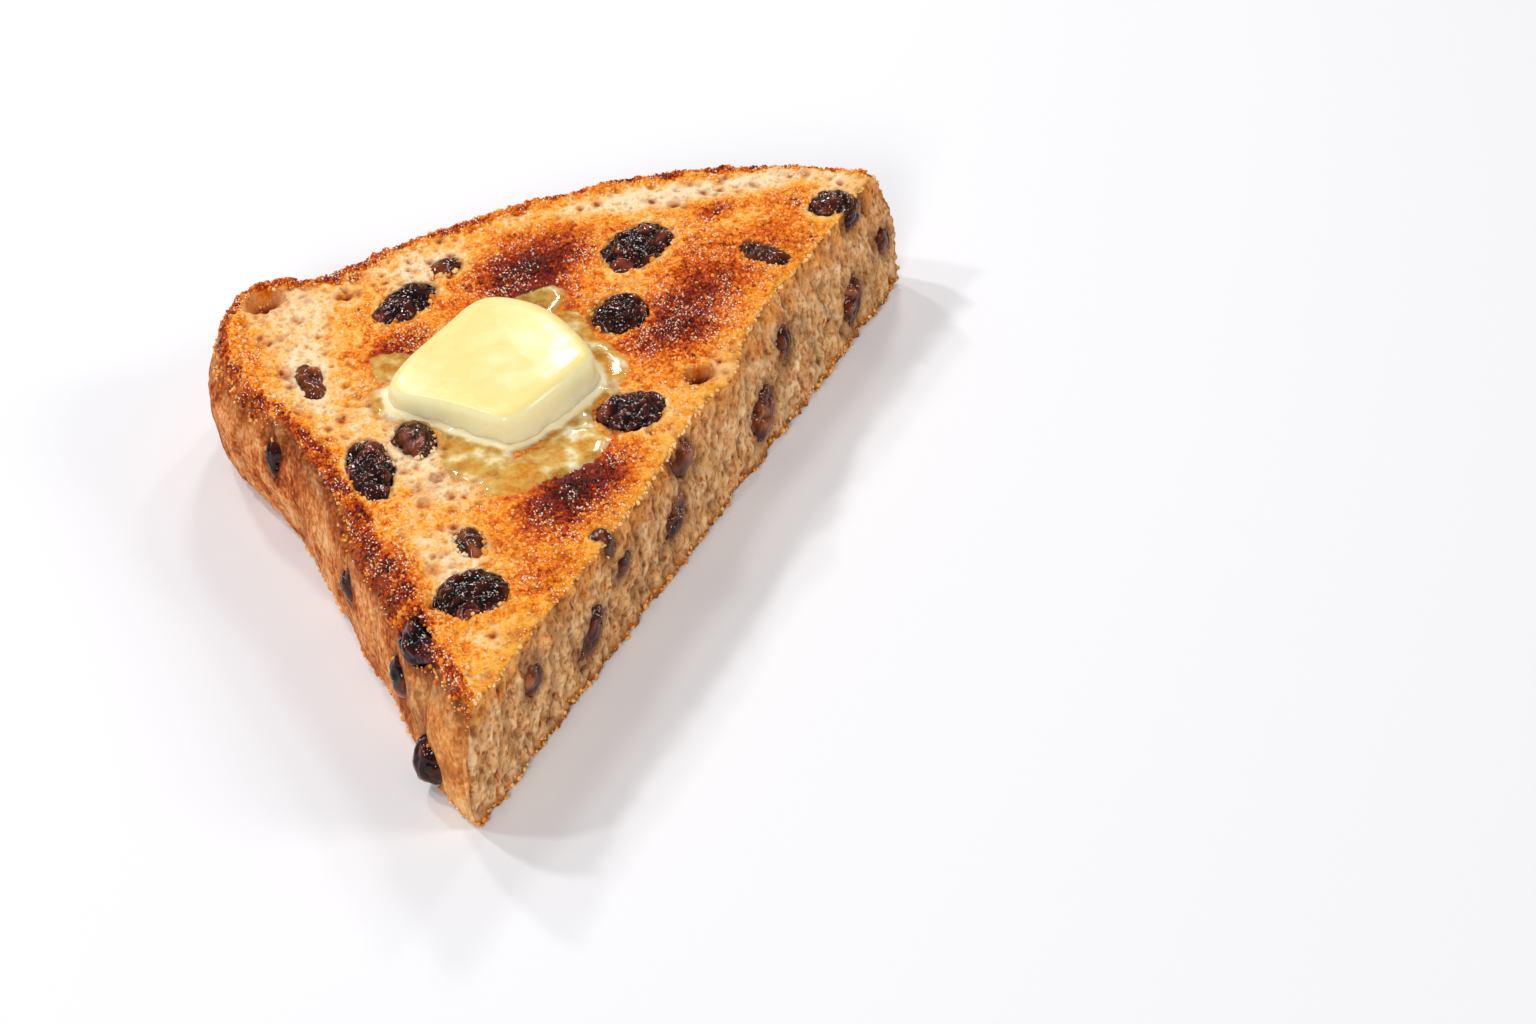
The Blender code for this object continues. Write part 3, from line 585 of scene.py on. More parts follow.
def bread_material(settings):
    """Raisin bread, baked in a tin, sliced and toasted: matt open crumb, browned where the grill caught it,
    glossy where butter soaked in, with a smooth tan crust."""
    material, shader = new_material("toasted raisin bread")
    add = partial(add_node, material)
    facts = {name: add("Attribute", output="Fac", attribute_name=name) for name in (
        "toast", "pore", "grain", "wet", "stain", "skin", "edge", "gold", "tip_light", "cut", "top", "base",
        "crust")}
    place = add("TexCoord", output="Object")
    # Clouds and specks by their size in millimetres; the finest grain of real crumb, about a tenth of a
    # millimetre, wouldn't show, so it is drawn at 0.35
    specks = {size: add("TexNoise", {"Vector": place, "Scale": 1.0 / (size * MM), "Detail": 3.0})
              for size in (0.35, 0.45, 0.6, 0.7, 0.8, 0.9, 1.5, 2.2, 2.6, 5.0)}

    # Open crumb: thin walls round cells of about a millimetre, drawn taller than wide by the baking, with
    # painted shade inside the cells
    upright = add("Mapping", {"Vector": place, "Scale": (1.0, 1.0, 0.75)})
    drift = add("TexNoise", {"Vector": upright, "Scale": 1.0 / (1.2 * MM), "Detail": 3.0}, "Color")
    push = add("VectorMath", (drift, (1.2 * MM, 1.2 * MM, 1.2 * MM)), operation="MULTIPLY")
    bent = add("VectorMath", (upright, push), operation="ADD")
    cells = add("TexVoronoi", {"Vector": bent, "Scale": 1.0 / (1.05 * MM)})
    pale = add("MapRange", {"Value": facts["toast"], "From Min": 0.45, "From Max": 0.2})
    pale_top = add("Math", (pale, facts["top"]), operation="MULTIPLY")
    open_crumb = add("Math", (facts["cut"], pale_top), operation="MAXIMUM")
    # Pale walls, and painted shade darkening towards each cell's middle
    cell_shade = add("ValToRGB", (cells,), stops=((0.06, "#B2682C"), (0.22, "#E2B47A"), (0.42, "#FFFFFF")))

    # Scorched specks of about half and one and a half millimetres shift the tone both ways about their mean,
    # which is 0.393 in all, and the crumb's relief makes its dips browner and its tips paler, as painted
    # shade between the grains
    brown = facts["toast"]
    for speck, weight in ((specks[0.45], 0.6), (specks[1.5], 0.45), (facts["grain"], -0.24)):
        brown = add("Math", (speck, weight, brown), operation="MULTIPLY_ADD")
    brown = add("Math", (brown, -0.393), operation="ADD", use_clamp=True)
    toast = add("ValToRGB", (brown,), stops=(
        (0.0, "#FAE0B8"), (0.16, "#FBCB8C"), (0.31, "#FDB042"), (0.42, "#F38A10"), (0.54, "#D45602"),
        (0.65, "#A02605"), (0.77, "#6A1006"), (0.92, "#340505")))
    unbrowned = add("Math", (brown, -0.75, 0.75), operation="MULTIPLY_ADD")
    butter_edge = add("Math", (facts["edge"], unbrowned), operation="MULTIPLY")
    # Painted shade in the pores, darkest in the deepest
    hollow = add("Math", (facts["pore"], 1.3), operation="MULTIPLY")
    # The cells' painted shade, on the pale crumb
    half_pale = add("Math", (pale, 0.5), operation="MULTIPLY")
    deep_pore_shade = add("Math", (facts["pore"], 1.6, -0.8), operation="MULTIPLY_ADD")
    for share, layer, blend in (
            (butter_edge, "#EBA424", "MIX"), (hollow, "#B86C2A", "MULTIPLY"),
            (half_pale, cell_shade, "MULTIPLY"), (deep_pore_shade, "#6A2408", "MULTIPLY")):
        sockets = {SHARE: share, BELOW: toast, ABOVE: layer}
        toast = add("Mix", sockets, MIXED, data_type="RGBA", blend_type=blend)

    # Torn crumb: cream walls round pores painted brown as the shade inside them, with painted shade in the
    # cells and the relief's dips, and a little yellow where butter ran down
    torn = add("ValToRGB", (specks[2.2],), stops=(
        (0.3, "#DEA56A"), (0.5, settings.crumb_colour), (0.7, "#FFDFB2")))
    # Painted shade in the dips of the torn relief
    between = add("Math", (facts["grain"], -0.5, 0.5), operation="MULTIPLY_ADD")
    shreds = add("TexNoise", {"Vector": upright, "Scale": 1.0 / (0.7 * MM), "Detail": 5.0})
    flecks = add("ValToRGB", (shreds,), stops=((0.36, "#A86830"), (0.48, "#FFF6E6"), (0.62, "#FFFFFF")))
    # The cells' painted shade on the cut, in clouds
    cloudy = add("Math", (specks[2.6], 1.4), operation="MULTIPLY")
    golden = add("Math", (facts["edge"], facts["gold"]), operation="MULTIPLY")
    for share, layer, blend in (
            (facts["pore"], "#7E4820", "MIX"), (between, "#A06A38", "MIX"),
            (0.6, flecks, "MULTIPLY"), (cloudy, cell_shade, "MULTIPLY"),
            (golden, "#FFD076", "MULTIPLY"), (facts["skin"], "#9A5A22", "MIX")):
        sockets = {SHARE: share, BELOW: torn, ABOVE: layer}
        torn = add("Mix", sockets, MIXED, data_type="RGBA", blend_type=blend)

    # Baked crust: tan with redder and darker clouds, streaked lengthways, darker along the toasted rim, and
    # painted lighter towards the slice's tip as light
    broad = add("Math", (specks[5.0], 0.6), operation="MULTIPLY")
    clouds = add("Math", (specks[0.7], 0.4, broad), operation="MULTIPLY_ADD")
    crust = add("ValToRGB", (clouds,), stops=(
        (0.37, "#8E3A12"), (0.45, "#C86826"), (0.53, settings.crust_colour), (0.62, "#F8C284")))
    lengthways = add("Mapping", {"Vector": place, "Scale": (1.0, 0.8, 0.3)})
    strands = add("TexNoise", {"Vector": lengthways, "Scale": 1.0 / (0.5 * MM), "Detail": 4.0})
    fibres = add("ValToRGB", (strands,), stops=((0.38, "#B06C44"), (0.5, "#FFF4E8"), (0.64, "#FFFFFF")))
    height = add("SeparateXYZ", (place,), "Z")
    wavy = add("Math", (specks[1.5], RIM_SWAY * MM, height), operation="MULTIPLY_ADD")
    rim = add("MapRange", {
        "Value": wavy, "From Min": (RIM_LOW + RIM_SWAY / 2.0) * MM,
        "From Max": (RIM_HIGH + RIM_SWAY / 2.0) * MM, "To Max": 0.85})
    scorched = add("ValToRGB", (specks[0.8],), stops=(
        (0.36, "#3A0E08"), (0.5, "#742A12"), (0.64, "#BE6426")))
    # The tip's painted light is screened over the crust
    for share, layer, blend in (
            (0.5, fibres, "MULTIPLY"), (facts["tip_light"], "#F0A050", "SCREEN"), (rim, scorched, "MIX")):
        sockets = {SHARE: share, BELOW: crust, ABOVE: layer}
        crust = add("Mix", sockets, MIXED, data_type="RGBA", blend_type=blend)

    # The faces together, then the raisins' juice stains with painted shade round the raisins and in the
    # crust's creases, and the butter that soaked in
    under = add("Mix", {SHARE: 0.35, BELOW: crust, ABOVE: toast}, MIXED, data_type="RGBA")
    # Juice stains, and painted shade round the raisins and in the crust's creases
    juice = add("Math", (facts["stain"], 0.62), operation="MULTIPLY")
    soaked = add("Math", (facts["wet"], 0.44), operation="MULTIPLY")
    whole = toast
    for share, layer, blend in (
            (facts["cut"], torn, "MIX"), (facts["crust"], crust, "MIX"), (facts["base"], under, "MIX"),
            (juice, "#5A2C1C", "MULTIPLY"), (soaked, "#E2B84A", "MULTIPLY")):
        sockets = {SHARE: share, BELOW: whole, ABOVE: layer}
        whole = add("Mix", sockets, MIXED, data_type="RGBA", blend_type=blend)

    # Oil shines on the grains' tips, and most where the butter soaked in
    greasy = add("Math", (facts["toast"], 0.12, specks[0.6]), operation="MULTIPLY_ADD")
    oily = add("Math", (greasy, 0.56), operation="GREATER_THAN")
    shine = add("Math", (oily, 0.42, 0.1), operation="MULTIPLY_ADD")
    gloss = add("Math", (shine, facts["top"]), operation="MULTIPLY")
    dull = add("Math", (facts["wet"], -0.12, 0.74), operation="MULTIPLY_ADD")
    rough = add("Math", (dull, gloss), operation="SUBTRACT")

    low_bumps = add("Math", (specks[0.35], 0.5), operation="MULTIPLY")
    bumps = add("Math", (specks[0.9], 0.6, low_bumps), operation="MULTIPLY_ADD")
    hollows = add("Math", (cells, 0.55), operation="MINIMUM")
    foam = add("Math", (open_crumb, 1.3), operation="MULTIPLY")
    relief = add("Math", (hollows, foam, bumps), operation="MULTIPLY_ADD")
    bump = add("Bump", {"Height": relief, "Strength": 0.8, "Distance": 0.45 * MM})
    set_inputs(shader, {
        "Base Color": whole, "Roughness": rough, "Normal": bump, "IOR": 1.22, "Subsurface Weight": 0.06,
        "Subsurface Radius": (1.0, 0.55, 0.3), "Subsurface Scale": 1.5 * MM})
    return material


def raisin_material(settings):
    """Raisins, sun-dried grapes: leathery wrinkled skin, nearly black, darker in the folds as painted shade
    and redder on the folds' crests as painted light glowing through them, and glossy with sugar and butter."""
    material, shader = new_material("sun-dried raisin skin")
    add = partial(add_node, material)
    crest, tone = (add("Attribute", output="Fac", attribute_name=name) for name in ("crest", "tone"))
    place = add("TexCoord", output="Object")
    clouds = add("TexNoise", {"Vector": place, "Scale": 1.0 / (3.0 * MM), "Detail": 3.0})
    # Over the raisin's own tone, the folds are painted darker as shade and the crests redder as light
    # glowing through the skin
    share = add("Math", (crest, clouds), operation="MULTIPLY")
    dark = add("ValToRGB", (share,), stops=(
        (0.05, "#050101"), (0.2, settings.skin_colour), (0.34, "#3E120F"), (0.5, "#7C3428")))
    brown = add("ValToRGB", (share,), stops=(
        (0.05, "#220B06"), (0.2, "#522212"), (0.36, "#80401F"), (0.52, "#A9663C")))
    colour = add("Mix", {SHARE: tone, BELOW: dark, ABOVE: brown}, MIXED, data_type="RGBA")
    # The skin's finest creases wouldn't show, so they are drawn 0.9 mm apart
    creases = {"Vector": place, "Scale": 1.0 / (0.9 * MM), "Detail": 4.0}
    fine = add("TexNoise", creases, noise_type="RIDGED_MULTIFRACTAL")
    rough = add("MapRange", {"Value": fine, "To Min": 0.07, "To Max": 0.16})
    bump = add("Bump", {"Height": fine, "Strength": 0.5, "Distance": 0.2 * MM})
    set_inputs(shader, {"Base Color": colour, "Roughness": rough, "Normal": bump, "IOR": 1.34})
    return material


def butter_material(settings):
    """Butter, churned and softened by the heat: pale yellow fat that light enters, with a satin shine."""
    material, shader = new_material("soft dairy butter")
    add = partial(add_node, material)
    place = add("TexCoord", output="Object")
    clouds = add("TexNoise", {"Vector": place, "Scale": 1.0 / (7.0 * MM), "Detail": 2.0})
    fat = add("ValToRGB", (clouds,), stops=(
        (0.3, "#F9E094"), (0.5, settings.butter_colour), (0.7, "#FCECB4")))
    # The sides are painted paler and whiter than the top, as painted light on the shaded sides
    side = add("Attribute", output="Fac", attribute_name="side")
    colour = add("Mix", {SHARE: side, BELOW: fat, ABOVE: "#FFF0C2"}, MIXED, data_type="RGBA")
    melt = add("TexNoise", {"Vector": place, "Scale": 1.0 / (4.0 * MM), "Detail": 1.0})
    rough = add("MapRange", {"Value": melt, "From Min": 0.4, "From Max": 0.6, "To Min": 0.2, "To Max": 0.32})
    set_inputs(shader, {
        "Base Color": colour, "Roughness": rough, "IOR": 1.4, "Subsurface Weight": 0.7,
        "Subsurface Radius": (1.0, 0.85, 0.55), "Subsurface Scale": 4.0 * MM})
    return material


def melted_material():
    """Butter melted to a thin oil: clear yellow with milky streaks, and wet, painted near white and opaque
    against the pat, partly as milky butter and partly as painted sheen.
    """
    material, shader = new_material("melted butter film")
    add = partial(add_node, material)
    place = add("TexCoord", output="Object")
    milk = add("TexNoise", {"Vector": place, "Scale": 1.0 / (3.0 * MM), "Detail": 4.0})
    oil = add("ValToRGB", (milk,), stops=((0.38, "#DEAA3C"), (0.54, "#ECC86A"), (0.7, "#FFF5D2")))
    solid = add("MapRange", {
        "Value": milk, "From Min": 0.38, "From Max": 0.66, "To Min": 0.4, "To Max": 0.9})
    deep, milky = (add("Attribute", output="Fac", attribute_name=name) for name in ("deep", "milky"))
    cover = add("Math", (solid, deep, milky), operation="MULTIPLY_ADD", use_clamp=True)
    # Against the pat the film is painted near white: partly milky half-melted butter, partly painted sheen
    # along its lip
    colour = add("Mix", {SHARE: milky, BELOW: oil, ABOVE: "#FBF2CE"}, MIXED, data_type="RGBA")
    set_inputs(shader, {"Base Color": colour, "Alpha": cover, "Roughness": 0.06, "IOR": 1.46})
    return material


def grain_material():
    """Crumbs fried crisp in butter: cream, golden or dark brown grains with a wet sparkle."""
    material, shader = new_material("fried crumb grains")
    shade = add_node(material, "Attribute", output="Fac", attribute_name="shade")
    colour = add_node(material, "ValToRGB", (shade,), stops=(
        (0.0, "#FFDFAE"), (0.22, "#FBC270"), (0.4, "#F4982A"), (0.54, "#D6600C"), (0.68, "#962608"),
        (0.9, "#420A06")))
    set_inputs(shader, {"Base Color": colour, "Roughness": 0.12, "IOR": 1.34})
    return material


def drop_material(name, colour):
    """Tiny drops that catch light, coloured pale as painted glints: on the toast as butterfat spat out by
    the heat, on the raisins as dried sugar.
    """
    material, shader = new_material(name)
    set_inputs(shader, {"Base Color": colour, "Roughness": 0.1, "IOR": 1.46})
    return material


def make_bread(settings):
    """The half slice, finely meshed, in place of its plain solid."""
    mesh = remeshed("toasted_slice", "bread", settings.grid, BREAD_ROUNDS)
    shape_bread(mesh, settings)
    bread = add_piece("toasted_slice", mesh, bread_material(settings))
    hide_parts("bread")


def wrinkle(mesh, settings, seed, tone):
    """Fold a raisin's skin, mostly along its length, and note how brown it is."""
    points = read_points(mesh)
    middle = (points.min(0) + points.max(0)) / 2.0
    _, _, axes = np.linalg.svd(points - points.mean(0), full_matrices=False)
    local = (points - middle) @ axes.T
    bent = local + 0.7 * np.stack([noise_at(local, 2.2, seed + k) for k in (1.0, 2.0, 3.0)], 1)
    broad = np.abs(noise_at(bent, 2.5, seed, (0.5, 1.0, 1.0))) ** 0.6
    narrow = np.abs(noise_at(bent, 1.3, seed + 5.0, (0.5, 1.0, 1.0))) ** 0.6
    crest = np.clip(0.55 * broad + 0.45 * narrow, 0.0, 1.0)
    size = min(1.0, np.ptp(points, axis=0).max() / 9.0)
    lift = settings.swell / MM * (1.0 + 0.6 * tone)
    lift += size * settings.wrinkle / MM * 1.9 * (crest - 0.5)
    lift += CRUST_SWELL * ("crust" in mesh.name)
    lift += 0.35 * size * noise_at(local, 3.6, seed + 9.0)
    points = points + read_normals(mesh) * lift[:, None]
    points[:, 2] = np.maximum(points[:, 2], 0.02)
    write_points(mesh, points)
    add_attribute(mesh, "crest", crest)
    add_attribute(mesh, "tone", np.full(len(points), tone))


def make_raisins(settings):
    """Each raisin in place of its plain solid."""
    material = raisin_material(settings)
    for index, name in enumerate(RAISIN_NODES):
        mesh = remeshed("dried_" + name, name, RAISIN_GRID * MM, RAISIN_ROUNDS)
        tone = BROWN_RAISINS.get(name, CUT_TONE if "cut" in name else SKIN_TONE)
        wrinkle(mesh, settings, 3.7 * index, tone)
        raisin = add_piece("dried_" + name, mesh, material)
        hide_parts(name)


def make_pat(settings):
    """The pat, with softened edges and shallow dips where it has slumped."""
    mesh = remeshed("soft_butter", "butter_pat", PAT_GRID * MM, PAT_ROUNDS)
    points, normals = read_points(mesh), read_normals(mesh)
    high = smooth(20.5, 22.5, points[:, 2])
    lift = 0.1 * high * noise_at(points, 8.0, 3.0) + 0.02 * high * noise_at(points, 2.5, 6.0)
    lift += 0.08 + 0.25 * (1.0 - high) * noise_at(points, 2.4, 9.0)
    points = points + normals * lift[:, None]
    points[:, 2] = np.clip(points[:, 2], PAT_FOOT, FRAME_BOUNDS[1].z / MM)
    write_points(mesh, points)
    # Marks the pat's sides, which the material paints paler as light
    add_attribute(mesh, "side", smooth(0.9, 0.5, read_normals(mesh)[:, 2]))
    pat = add_piece("soft_butter", mesh, butter_material(settings))
    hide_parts("butter_pat")


def film_level(flat, columns, rows):
    """The toasted face's height under each point of the film's grid: its high spots, smoothed."""
    toast = surface_of("toasted_slice")
    hits = [toast.ray_cast(Vector(p), Vector((0.0, 0.0, -1.0)))[0] for p in (flat - SHIFT) * MM]
    ground = np.array([hit.z / MM if hit else CRUMB_LEVEL for hit in hits])
    level = ground.reshape(columns, rows)
    for _ in range(2):
        level = np.max([np.roll(level, step, axis) for step in (-1, 0, 1) for axis in (0, 1)], axis=0)
    for _ in range(FILM_ROUNDS):
        level = (level + np.roll(level, 1, 0) + np.roll(level, -1, 0)
                 + np.roll(level, 1, 1) + np.roll(level, -1, 1)) / 5.0
    return level.ravel()


def make_film(settings):
    """Melted butter lying on the toasted face round the pat, thickest in its middle and against the pat."""
    columns, rows = (round((high - low) / FILM_GRID) for low, high in zip(FILM_LOW, FILM_HIGH))
    across = np.linspace(FILM_LOW[0], FILM_HIGH[0], columns)
    up = np.linspace(FILM_LOW[1], FILM_HIGH[1], rows)
    xs, ys = np.meshgrid(across, up, indexing="ij")
    flat = np.stack([xs.ravel(), ys.ravel(), np.full(xs.size, 30.0)], 1)
    amount = melt_field(flat)
    pat = surface_of("soft_butter")
    low_places = (flat * FLAT + (0, 0, CRUMB_LEVEL + 0.5) - SHIFT) * MM
    gap = np.array([pat.find_nearest(Vector(p))[3] / MM for p in low_places])
    thick = (0.3 + settings.film / MM) * smooth(0.0, 0.45, amount) ** 0.7
    thick += LIP_HEIGHT * np.exp(-gap / LIP_REACH)
    top = film_level(flat, columns, rows) + thick - FILM_SINK + 0.04 * noise_at(flat, 4.4, 77.0)

    shape = bmesh.new()
    corners = {}
    for index in np.nonzero(amount > -0.02)[0]:
        corners[index] = shape.verts.new(((flat[index] * FLAT + (0, 0, top[index])) - SHIFT) * MM)
    for column in range(columns - 1):
        for row in range(rows - 1):
            start = column * rows + row
            ring = (start, start + rows, start + rows + 1, start + 1)
            if all(index in corners for index in ring):
                shape.faces.new([corners[index] for index in ring])
    under = bmesh.ops.extrude_face_region(shape, geom=shape.faces[:], use_keep_orig=True)["geom"]
    bottom = [item for item in under if isinstance(item, bmesh.types.BMVert)]
    bmesh.ops.translate(shape, verts=bottom, vec=(0.0, 0.0, -FILM_DEPTH * MM))
    bmesh.ops.delete(shape, geom=[v for v in shape.verts if not v.link_faces], context="VERTS")
    bmesh.ops.recalc_face_normals(shape, faces=shape.faces[:])
    mesh = bpy.data.meshes.new("melted_butter")
    shape.to_mesh(mesh)
    shape.free()
    near_pat = np.array([pat.find_nearest(v.co)[3] / MM for v in mesh.vertices])
    add_attribute(mesh, "deep", smooth(0.0, 0.4, melt_field(read_points(mesh))))
    # Near the pat: partly milky butter, partly painted sheen
    add_attribute(mesh, "milky", smooth(1.6, 0.4, near_pat))
    film = add_piece("melted_butter", mesh, melted_material())


def choose(draw, likely, count):
    """Places drawn at random, the likelier ones more often."""
    return draw.choice(len(likely), count, p=likely / likely.sum())


def choose_sizes(draw, name, count, power=2):
    """Sizes drawn between a piece's smallest and largest, the smaller ones more often."""
    low, high = GRAIN_SIZES[name]
    return low + (high - low) * draw.random(count) ** power


def scatter(name, material, centres, normals, sizes, shade, detail, draw):
    """One mesh of lumpy grains at the given places, sunk a little into the bread."""
    count = len(centres)
    shape = bmesh.new()
    bmesh.ops.create_icosphere(shape, subdivisions=detail, radius=1.0)
    ball = np.array([v.co for v in shape.verts])
    faces = np.array([[v.index for v in face.verts] for face in shape.faces])
    shape.free()
    stretch = 0.7 + 0.6 * draw.random((count, 1, 3))
    lumps = ball[None] * stretch * (1.0 + 0.2 * draw.standard_normal((count, len(ball), 1)).clip(-1.5, 1.5))
    middles = centres + normals * (0.2 * sizes)[:, None]
    vertices = (middles[:, None] + lumps * sizes[:, None, None]).reshape(-1, 3)
    vertices[:, 2] = np.maximum(vertices[:, 2], 0.0)
    triangles = (faces[None] + len(ball) * np.arange(count)[:, None, None]).reshape(-1, 3)
    mesh = bpy.data.meshes.new(name)
    mesh.vertices.add(len(vertices))
    mesh.loops.add(triangles.size)
    mesh.polygons.add(len(triangles))
    mesh.loops.foreach_set("vertex_index", triangles.ravel().astype(np.int32))
    mesh.polygons.foreach_set("loop_start", np.arange(0, triangles.size, 3, dtype=np.int32))
    mesh.update(calc_edges=True)
    write_points(mesh, vertices)
    add_attribute(mesh, "shade", np.repeat(np.clip(shade, 0.0, 1.0), len(ball)))
    piece = add_piece(name, mesh, material)


def make_grains(settings):
    """Crisp grains on the toasted face, beads of crust along its rim and foot, and drops of fat painted pale
    as glints.
    """
    draw = np.random.default_rng(7)
    toast = bpy.data.objects["toasted_slice"].data
    corners = np.zeros(len(toast.loop_triangles) * 3, np.int32)
    toast.loop_triangles.foreach_get("vertices", corners)
    corners = corners.reshape(-1, 3)
    facts = {name: read_attribute(toast, name)[corners].mean(1)
             for name in ("toast", "top", "wet", "cut", "crust", "rim")}
    sides = read_points(toast)[corners]
    places = sides.mean(1)
    normals = np.cross(sides[:, 1] - sides[:, 0], sides[:, 2] - sides[:, 0])
    area = np.linalg.norm(normals, axis=1)
    normals /= np.maximum(area, 1e-9)[:, None]

    face = area * facts["top"] * smooth(0.2, 0.6, facts["toast"]) * (1.0 - 0.9 * facts["wet"])
    foot = 0.6 * area * smooth(1.5, 0.6, places[:, 2]) * (facts["cut"] + facts["crust"])
    arris = facts["cut"] * facts["top"] * smooth(15.0, 17.0, places[:, 2])
    beads = foot + area * (facts["rim"] * 0.5 + 1.6 * arris)
    material = grain_material()
    for name, likely, count, detail in (
            ("crisp_grains", face, settings.grains, 1), ("crust_beads", beads, settings.beads, 2)):
        chosen = choose(draw, likely, count)
        sizes = choose_sizes(draw, name, count)
        shade = np.where(facts["top"] > 0.3, facts["toast"], 0.4)
        shade = np.where(arris > 0.05, 0.22, shade)[chosen] + 0.1 * draw.standard_normal(count) - 0.04
        scatter(name, material, places[chosen], normals[chosen], sizes, shade, detail, draw)

    # Drops of fat painted near white as glints on the browned crumb; real drops are finer than the render
    # can show, so these are drawn coarser
    greasy = face * smooth(-0.5, 0.5, noise_at(places, 3.5, 91.0))
    chosen = choose(draw, greasy, settings.drops)
    sizes = choose_sizes(draw, "glint_drops", settings.drops, 1.5)
    raised = places[chosen] + normals[chosen] * 0.12
    drops = drop_material("painted glint drops", "#FFEBCB")
    scatter("glint_drops", drops, raised, normals[chosen], sizes, np.zeros(settings.drops), 1, draw)


def make_flakes(settings):
    """Flakes of crumb and crust that lap over the raisins' edges, and sugar on their skins, painted pale as
    glints.
    """
    draw = np.random.default_rng(11)
    toast = bpy.data.objects["toasted_slice"].data
    surface = surface_of("toasted_slice")
    browned = read_attribute(toast, "toast")
    centres, normals, shade = [], [], []
    for name in (name for name in RAISIN_NODES if name.split("_")[1] in ("top", "crust", "back")):
        mesh = bpy.data.objects["dried_" + name].data
        tries = settings.flake_tries if "top" in name else settings.flake_tries // 4
        for index in draw.permutation(len(mesh.vertices))[:tries]:
            place = mesh.vertices[index].co
            found, normal, polygon, distance = surface.find_nearest(place)
            side = (place - found).dot(normal)
            ragged = noise.noise(Vector(place) / (1.6 * MM)) > 0.05
            if distance < 0.22 * MM and side > -0.1 * MM and ragged:
                centres.append(place)
                normals.append(normal)
                shade.append(browned[toast.polygons[polygon].vertices[0]] if "top" in name else 0.42)
    centres = np.array(centres) / MM + SHIFT
    sizes = choose_sizes(draw, "crumb_flakes", len(centres))
    shade = np.array(shade) + 0.02 + 0.1 * draw.standard_normal(len(centres))
    material = bpy.data.objects["crisp_grains"].data.materials[0]
    scatter("crumb_flakes", material, centres, np.array(normals), sizes, shade, 2, draw)

    # Specks of sugar painted pale as glints, mostly on the raisins' upward faces; real specks of sugar are
    # finer than the render can show, so these are drawn coarser
    skins = [bpy.data.objects["dried_" + name].data for name in RAISIN_NODES]
    places = np.concatenate([read_points(mesh) for mesh in skins])
    facing = np.concatenate([read_normals(mesh) for mesh in skins])
    likely = smooth(0.1, 0.8, facing[:, 2]) * smooth(-0.1, 0.5, noise_at(places, 1.3, 95.0))
    chosen = choose(draw, likely, settings.crystals)
    sizes = choose_sizes(draw, "sugar_glint_specks", settings.crystals)
    sugar, shade = drop_material("sugar painted as glints", "#D8C0B8"), np.zeros(settings.crystals)
    scatter("sugar_glint_specks", sugar, places[chosen], facing[chosen], sizes, shade, 1, draw)


def make_stage(settings):
    """Floor, soft lights and the camera."""
    scene = bpy.context.scene
    scene.view_settings.view_transform = "Standard"
    bpy.ops.mesh.primitive_plane_add(size=6.0, location=(0.0, 0.0, -0.0002))
    floor = bpy.context.object
    floor.name = "studio_floor"
    # A board rolled with matt paint: pale, even and nearly free of shine
    material, shader = new_material("matt painted board")
    set_inputs(shader, {"Base Color": settings.floor_colour, "Roughness": 0.6})
    floor.data.materials.append(material)

    world = bpy.data.worlds.new("studio")
    scene.world = world
    world.use_nodes = True
    set_inputs(world.node_tree.nodes["Background"], {"Color": "#F4F6FA", "Strength": 0.22})
    for name, place, size, power, colour in LIGHTS:
        data = bpy.data.lights.new(name, "AREA")
        data.shape = "SQUARE"
        data.size = size
        data.energy = power * settings.light_power
        data.color = linear(colour)[:3]
        lamp = bpy.data.objects.new(name, data)
        lamp.location = place
        towards = Vector((0.0, 0.0, 0.01)) - Vector(place)
        lamp.rotation_euler = towards.to_track_quat("-Z", "Y").to_euler()
        scene.collection.objects.link(lamp)

    data = bpy.data.cameras.new("camera")
    data.lens = CAMERA_LENS
    data.sensor_width = CAMERA_SENSOR
    data.clip_start = 0.01
    camera = bpy.data.objects.new("camera", data)
    camera.location = (np.array(CAMERA_PLACE) - SHIFT) * MM
    camera.rotation_euler = (math.radians(90.0 - CAMERA_TILT), 0.0, math.radians(CAMERA_TURN))
    scene.collection.objects.link(camera)
    scene.camera = camera


class TOAST_OT_bread(bpy.types.Operator):
    """Make the toasted slice"""
    bl_idname = "toast.bread"
    bl_label = "Toasted slice"

    def execute(self, context):
        make_bread(context.scene.toast_bread)
        return {"FINISHED"}


class TOAST_OT_grains(bpy.types.Operator):
    """Make the crisp grains, the beads of crust and the drops of fat painted as glints"""
    bl_idname = "toast.grains"
    bl_label = "Crisp grains"

    def execute(self, context):
        make_grains(context.scene.toast_bread)
        return {"FINISHED"}


class TOAST_OT_raisins(bpy.types.Operator):
    """Make the raisins"""
    bl_idname = "toast.raisins"
    bl_label = "Raisins"

    def execute(self, context):
        make_raisins(context.scene.toast_raisins)
        return {"FINISHED"}


class TOAST_OT_flakes(bpy.types.Operator):
    """Make the flakes of crumb round the raisins, and the sugar on them painted as glints"""
    bl_idname = "toast.flakes"
    bl_label = "Crumb flakes"

    def execute(self, context):
        make_flakes(context.scene.toast_bread)
        return {"FINISHED"}


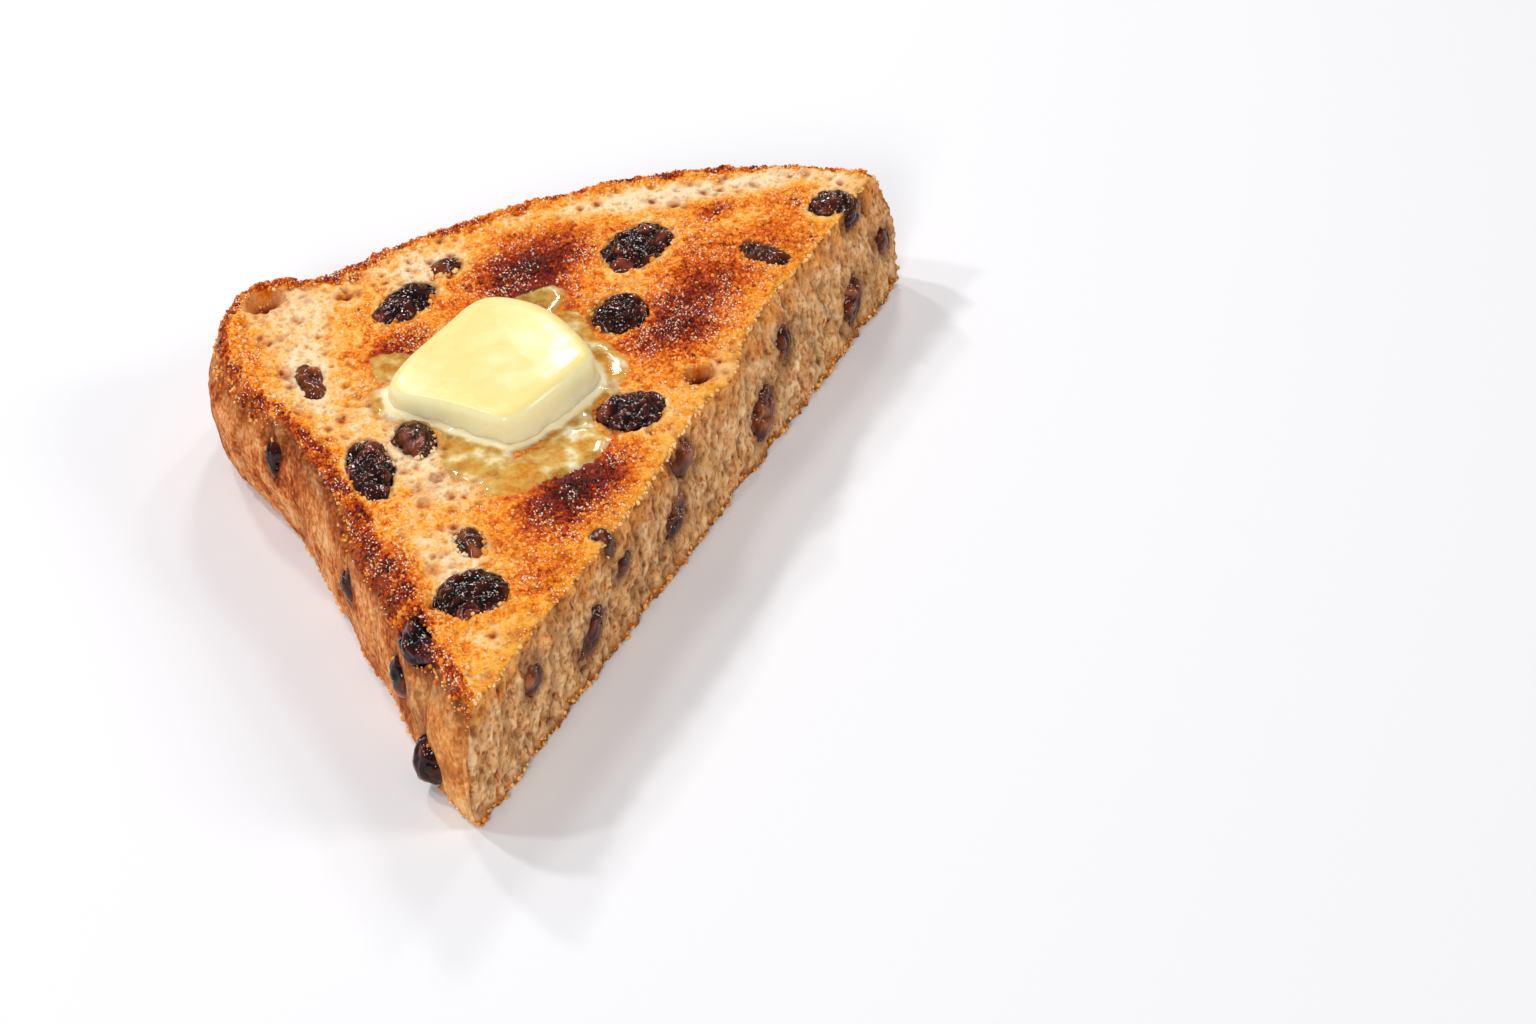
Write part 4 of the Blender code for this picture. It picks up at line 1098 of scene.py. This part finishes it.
class TOAST_OT_pat(bpy.types.Operator):
    """Make the pat of butter"""
    bl_idname = "toast.pat"
    bl_label = "Butter pat"

    def execute(self, context):
        make_pat(context.scene.toast_butter)
        return {"FINISHED"}


class TOAST_OT_film(bpy.types.Operator):
    """Make the melted butter round the pat"""
    bl_idname = "toast.film"
    bl_label = "Melted butter"

    def execute(self, context):
        make_film(context.scene.toast_butter)
        return {"FINISHED"}


class TOAST_OT_stage(bpy.types.Operator):
    """Make the floor, the lights and the camera"""
    bl_idname = "toast.stage"
    bl_label = "Stage"

    def execute(self, context):
        make_stage(context.scene.toast_stage)
        return {"FINISHED"}


class TOAST_PT_panel(bpy.types.Panel):
    """Each piece's operator, and the sizes and colours to change"""
    bl_idname = "TOAST_PT_panel"
    bl_label = "Buttered toast"
    bl_space_type = "VIEW_3D"
    bl_region_type = "UI"
    bl_category = "Toast"

    def draw(self, context):
        for operator in OPERATORS:
            self.layout.operator(operator.bl_idname)
        for name, settings in SETTINGS.items():
            group = getattr(context.scene, name)
            for key in settings.__annotations__:
                self.layout.prop(group, key)


OPERATORS = (
    TOAST_OT_bread, TOAST_OT_grains, TOAST_OT_raisins, TOAST_OT_flakes, TOAST_OT_pat, TOAST_OT_film,
    TOAST_OT_stage,
)
SETTINGS = {
    "toast_bread": BreadSettings, "toast_raisins": RaisinSettings,
    "toast_butter": ButterSettings, "toast_stage": StageSettings,
}


def register():
    for name, settings in SETTINGS.items():
        bpy.utils.register_class(settings)
        setattr(bpy.types.Scene, name, bpy.props.PointerProperty(type=settings))
    for kind in (*OPERATORS, TOAST_PT_panel):
        bpy.utils.register_class(kind)


def unregister():
    for kind in (TOAST_PT_panel, *reversed(OPERATORS)):
        bpy.utils.unregister_class(kind)
    for name, settings in SETTINGS.items():
        delattr(bpy.types.Scene, name)
        bpy.utils.unregister_class(settings)


def main():
    """Make every piece and the stage."""
    register()
    bpy.ops.toast.bread()
    bpy.ops.toast.grains()
    bpy.ops.toast.raisins()
    bpy.ops.toast.flakes()
    bpy.ops.toast.pat()
    bpy.ops.toast.film()
    bpy.ops.toast.stage()


if __name__ == "__main__":
    main()
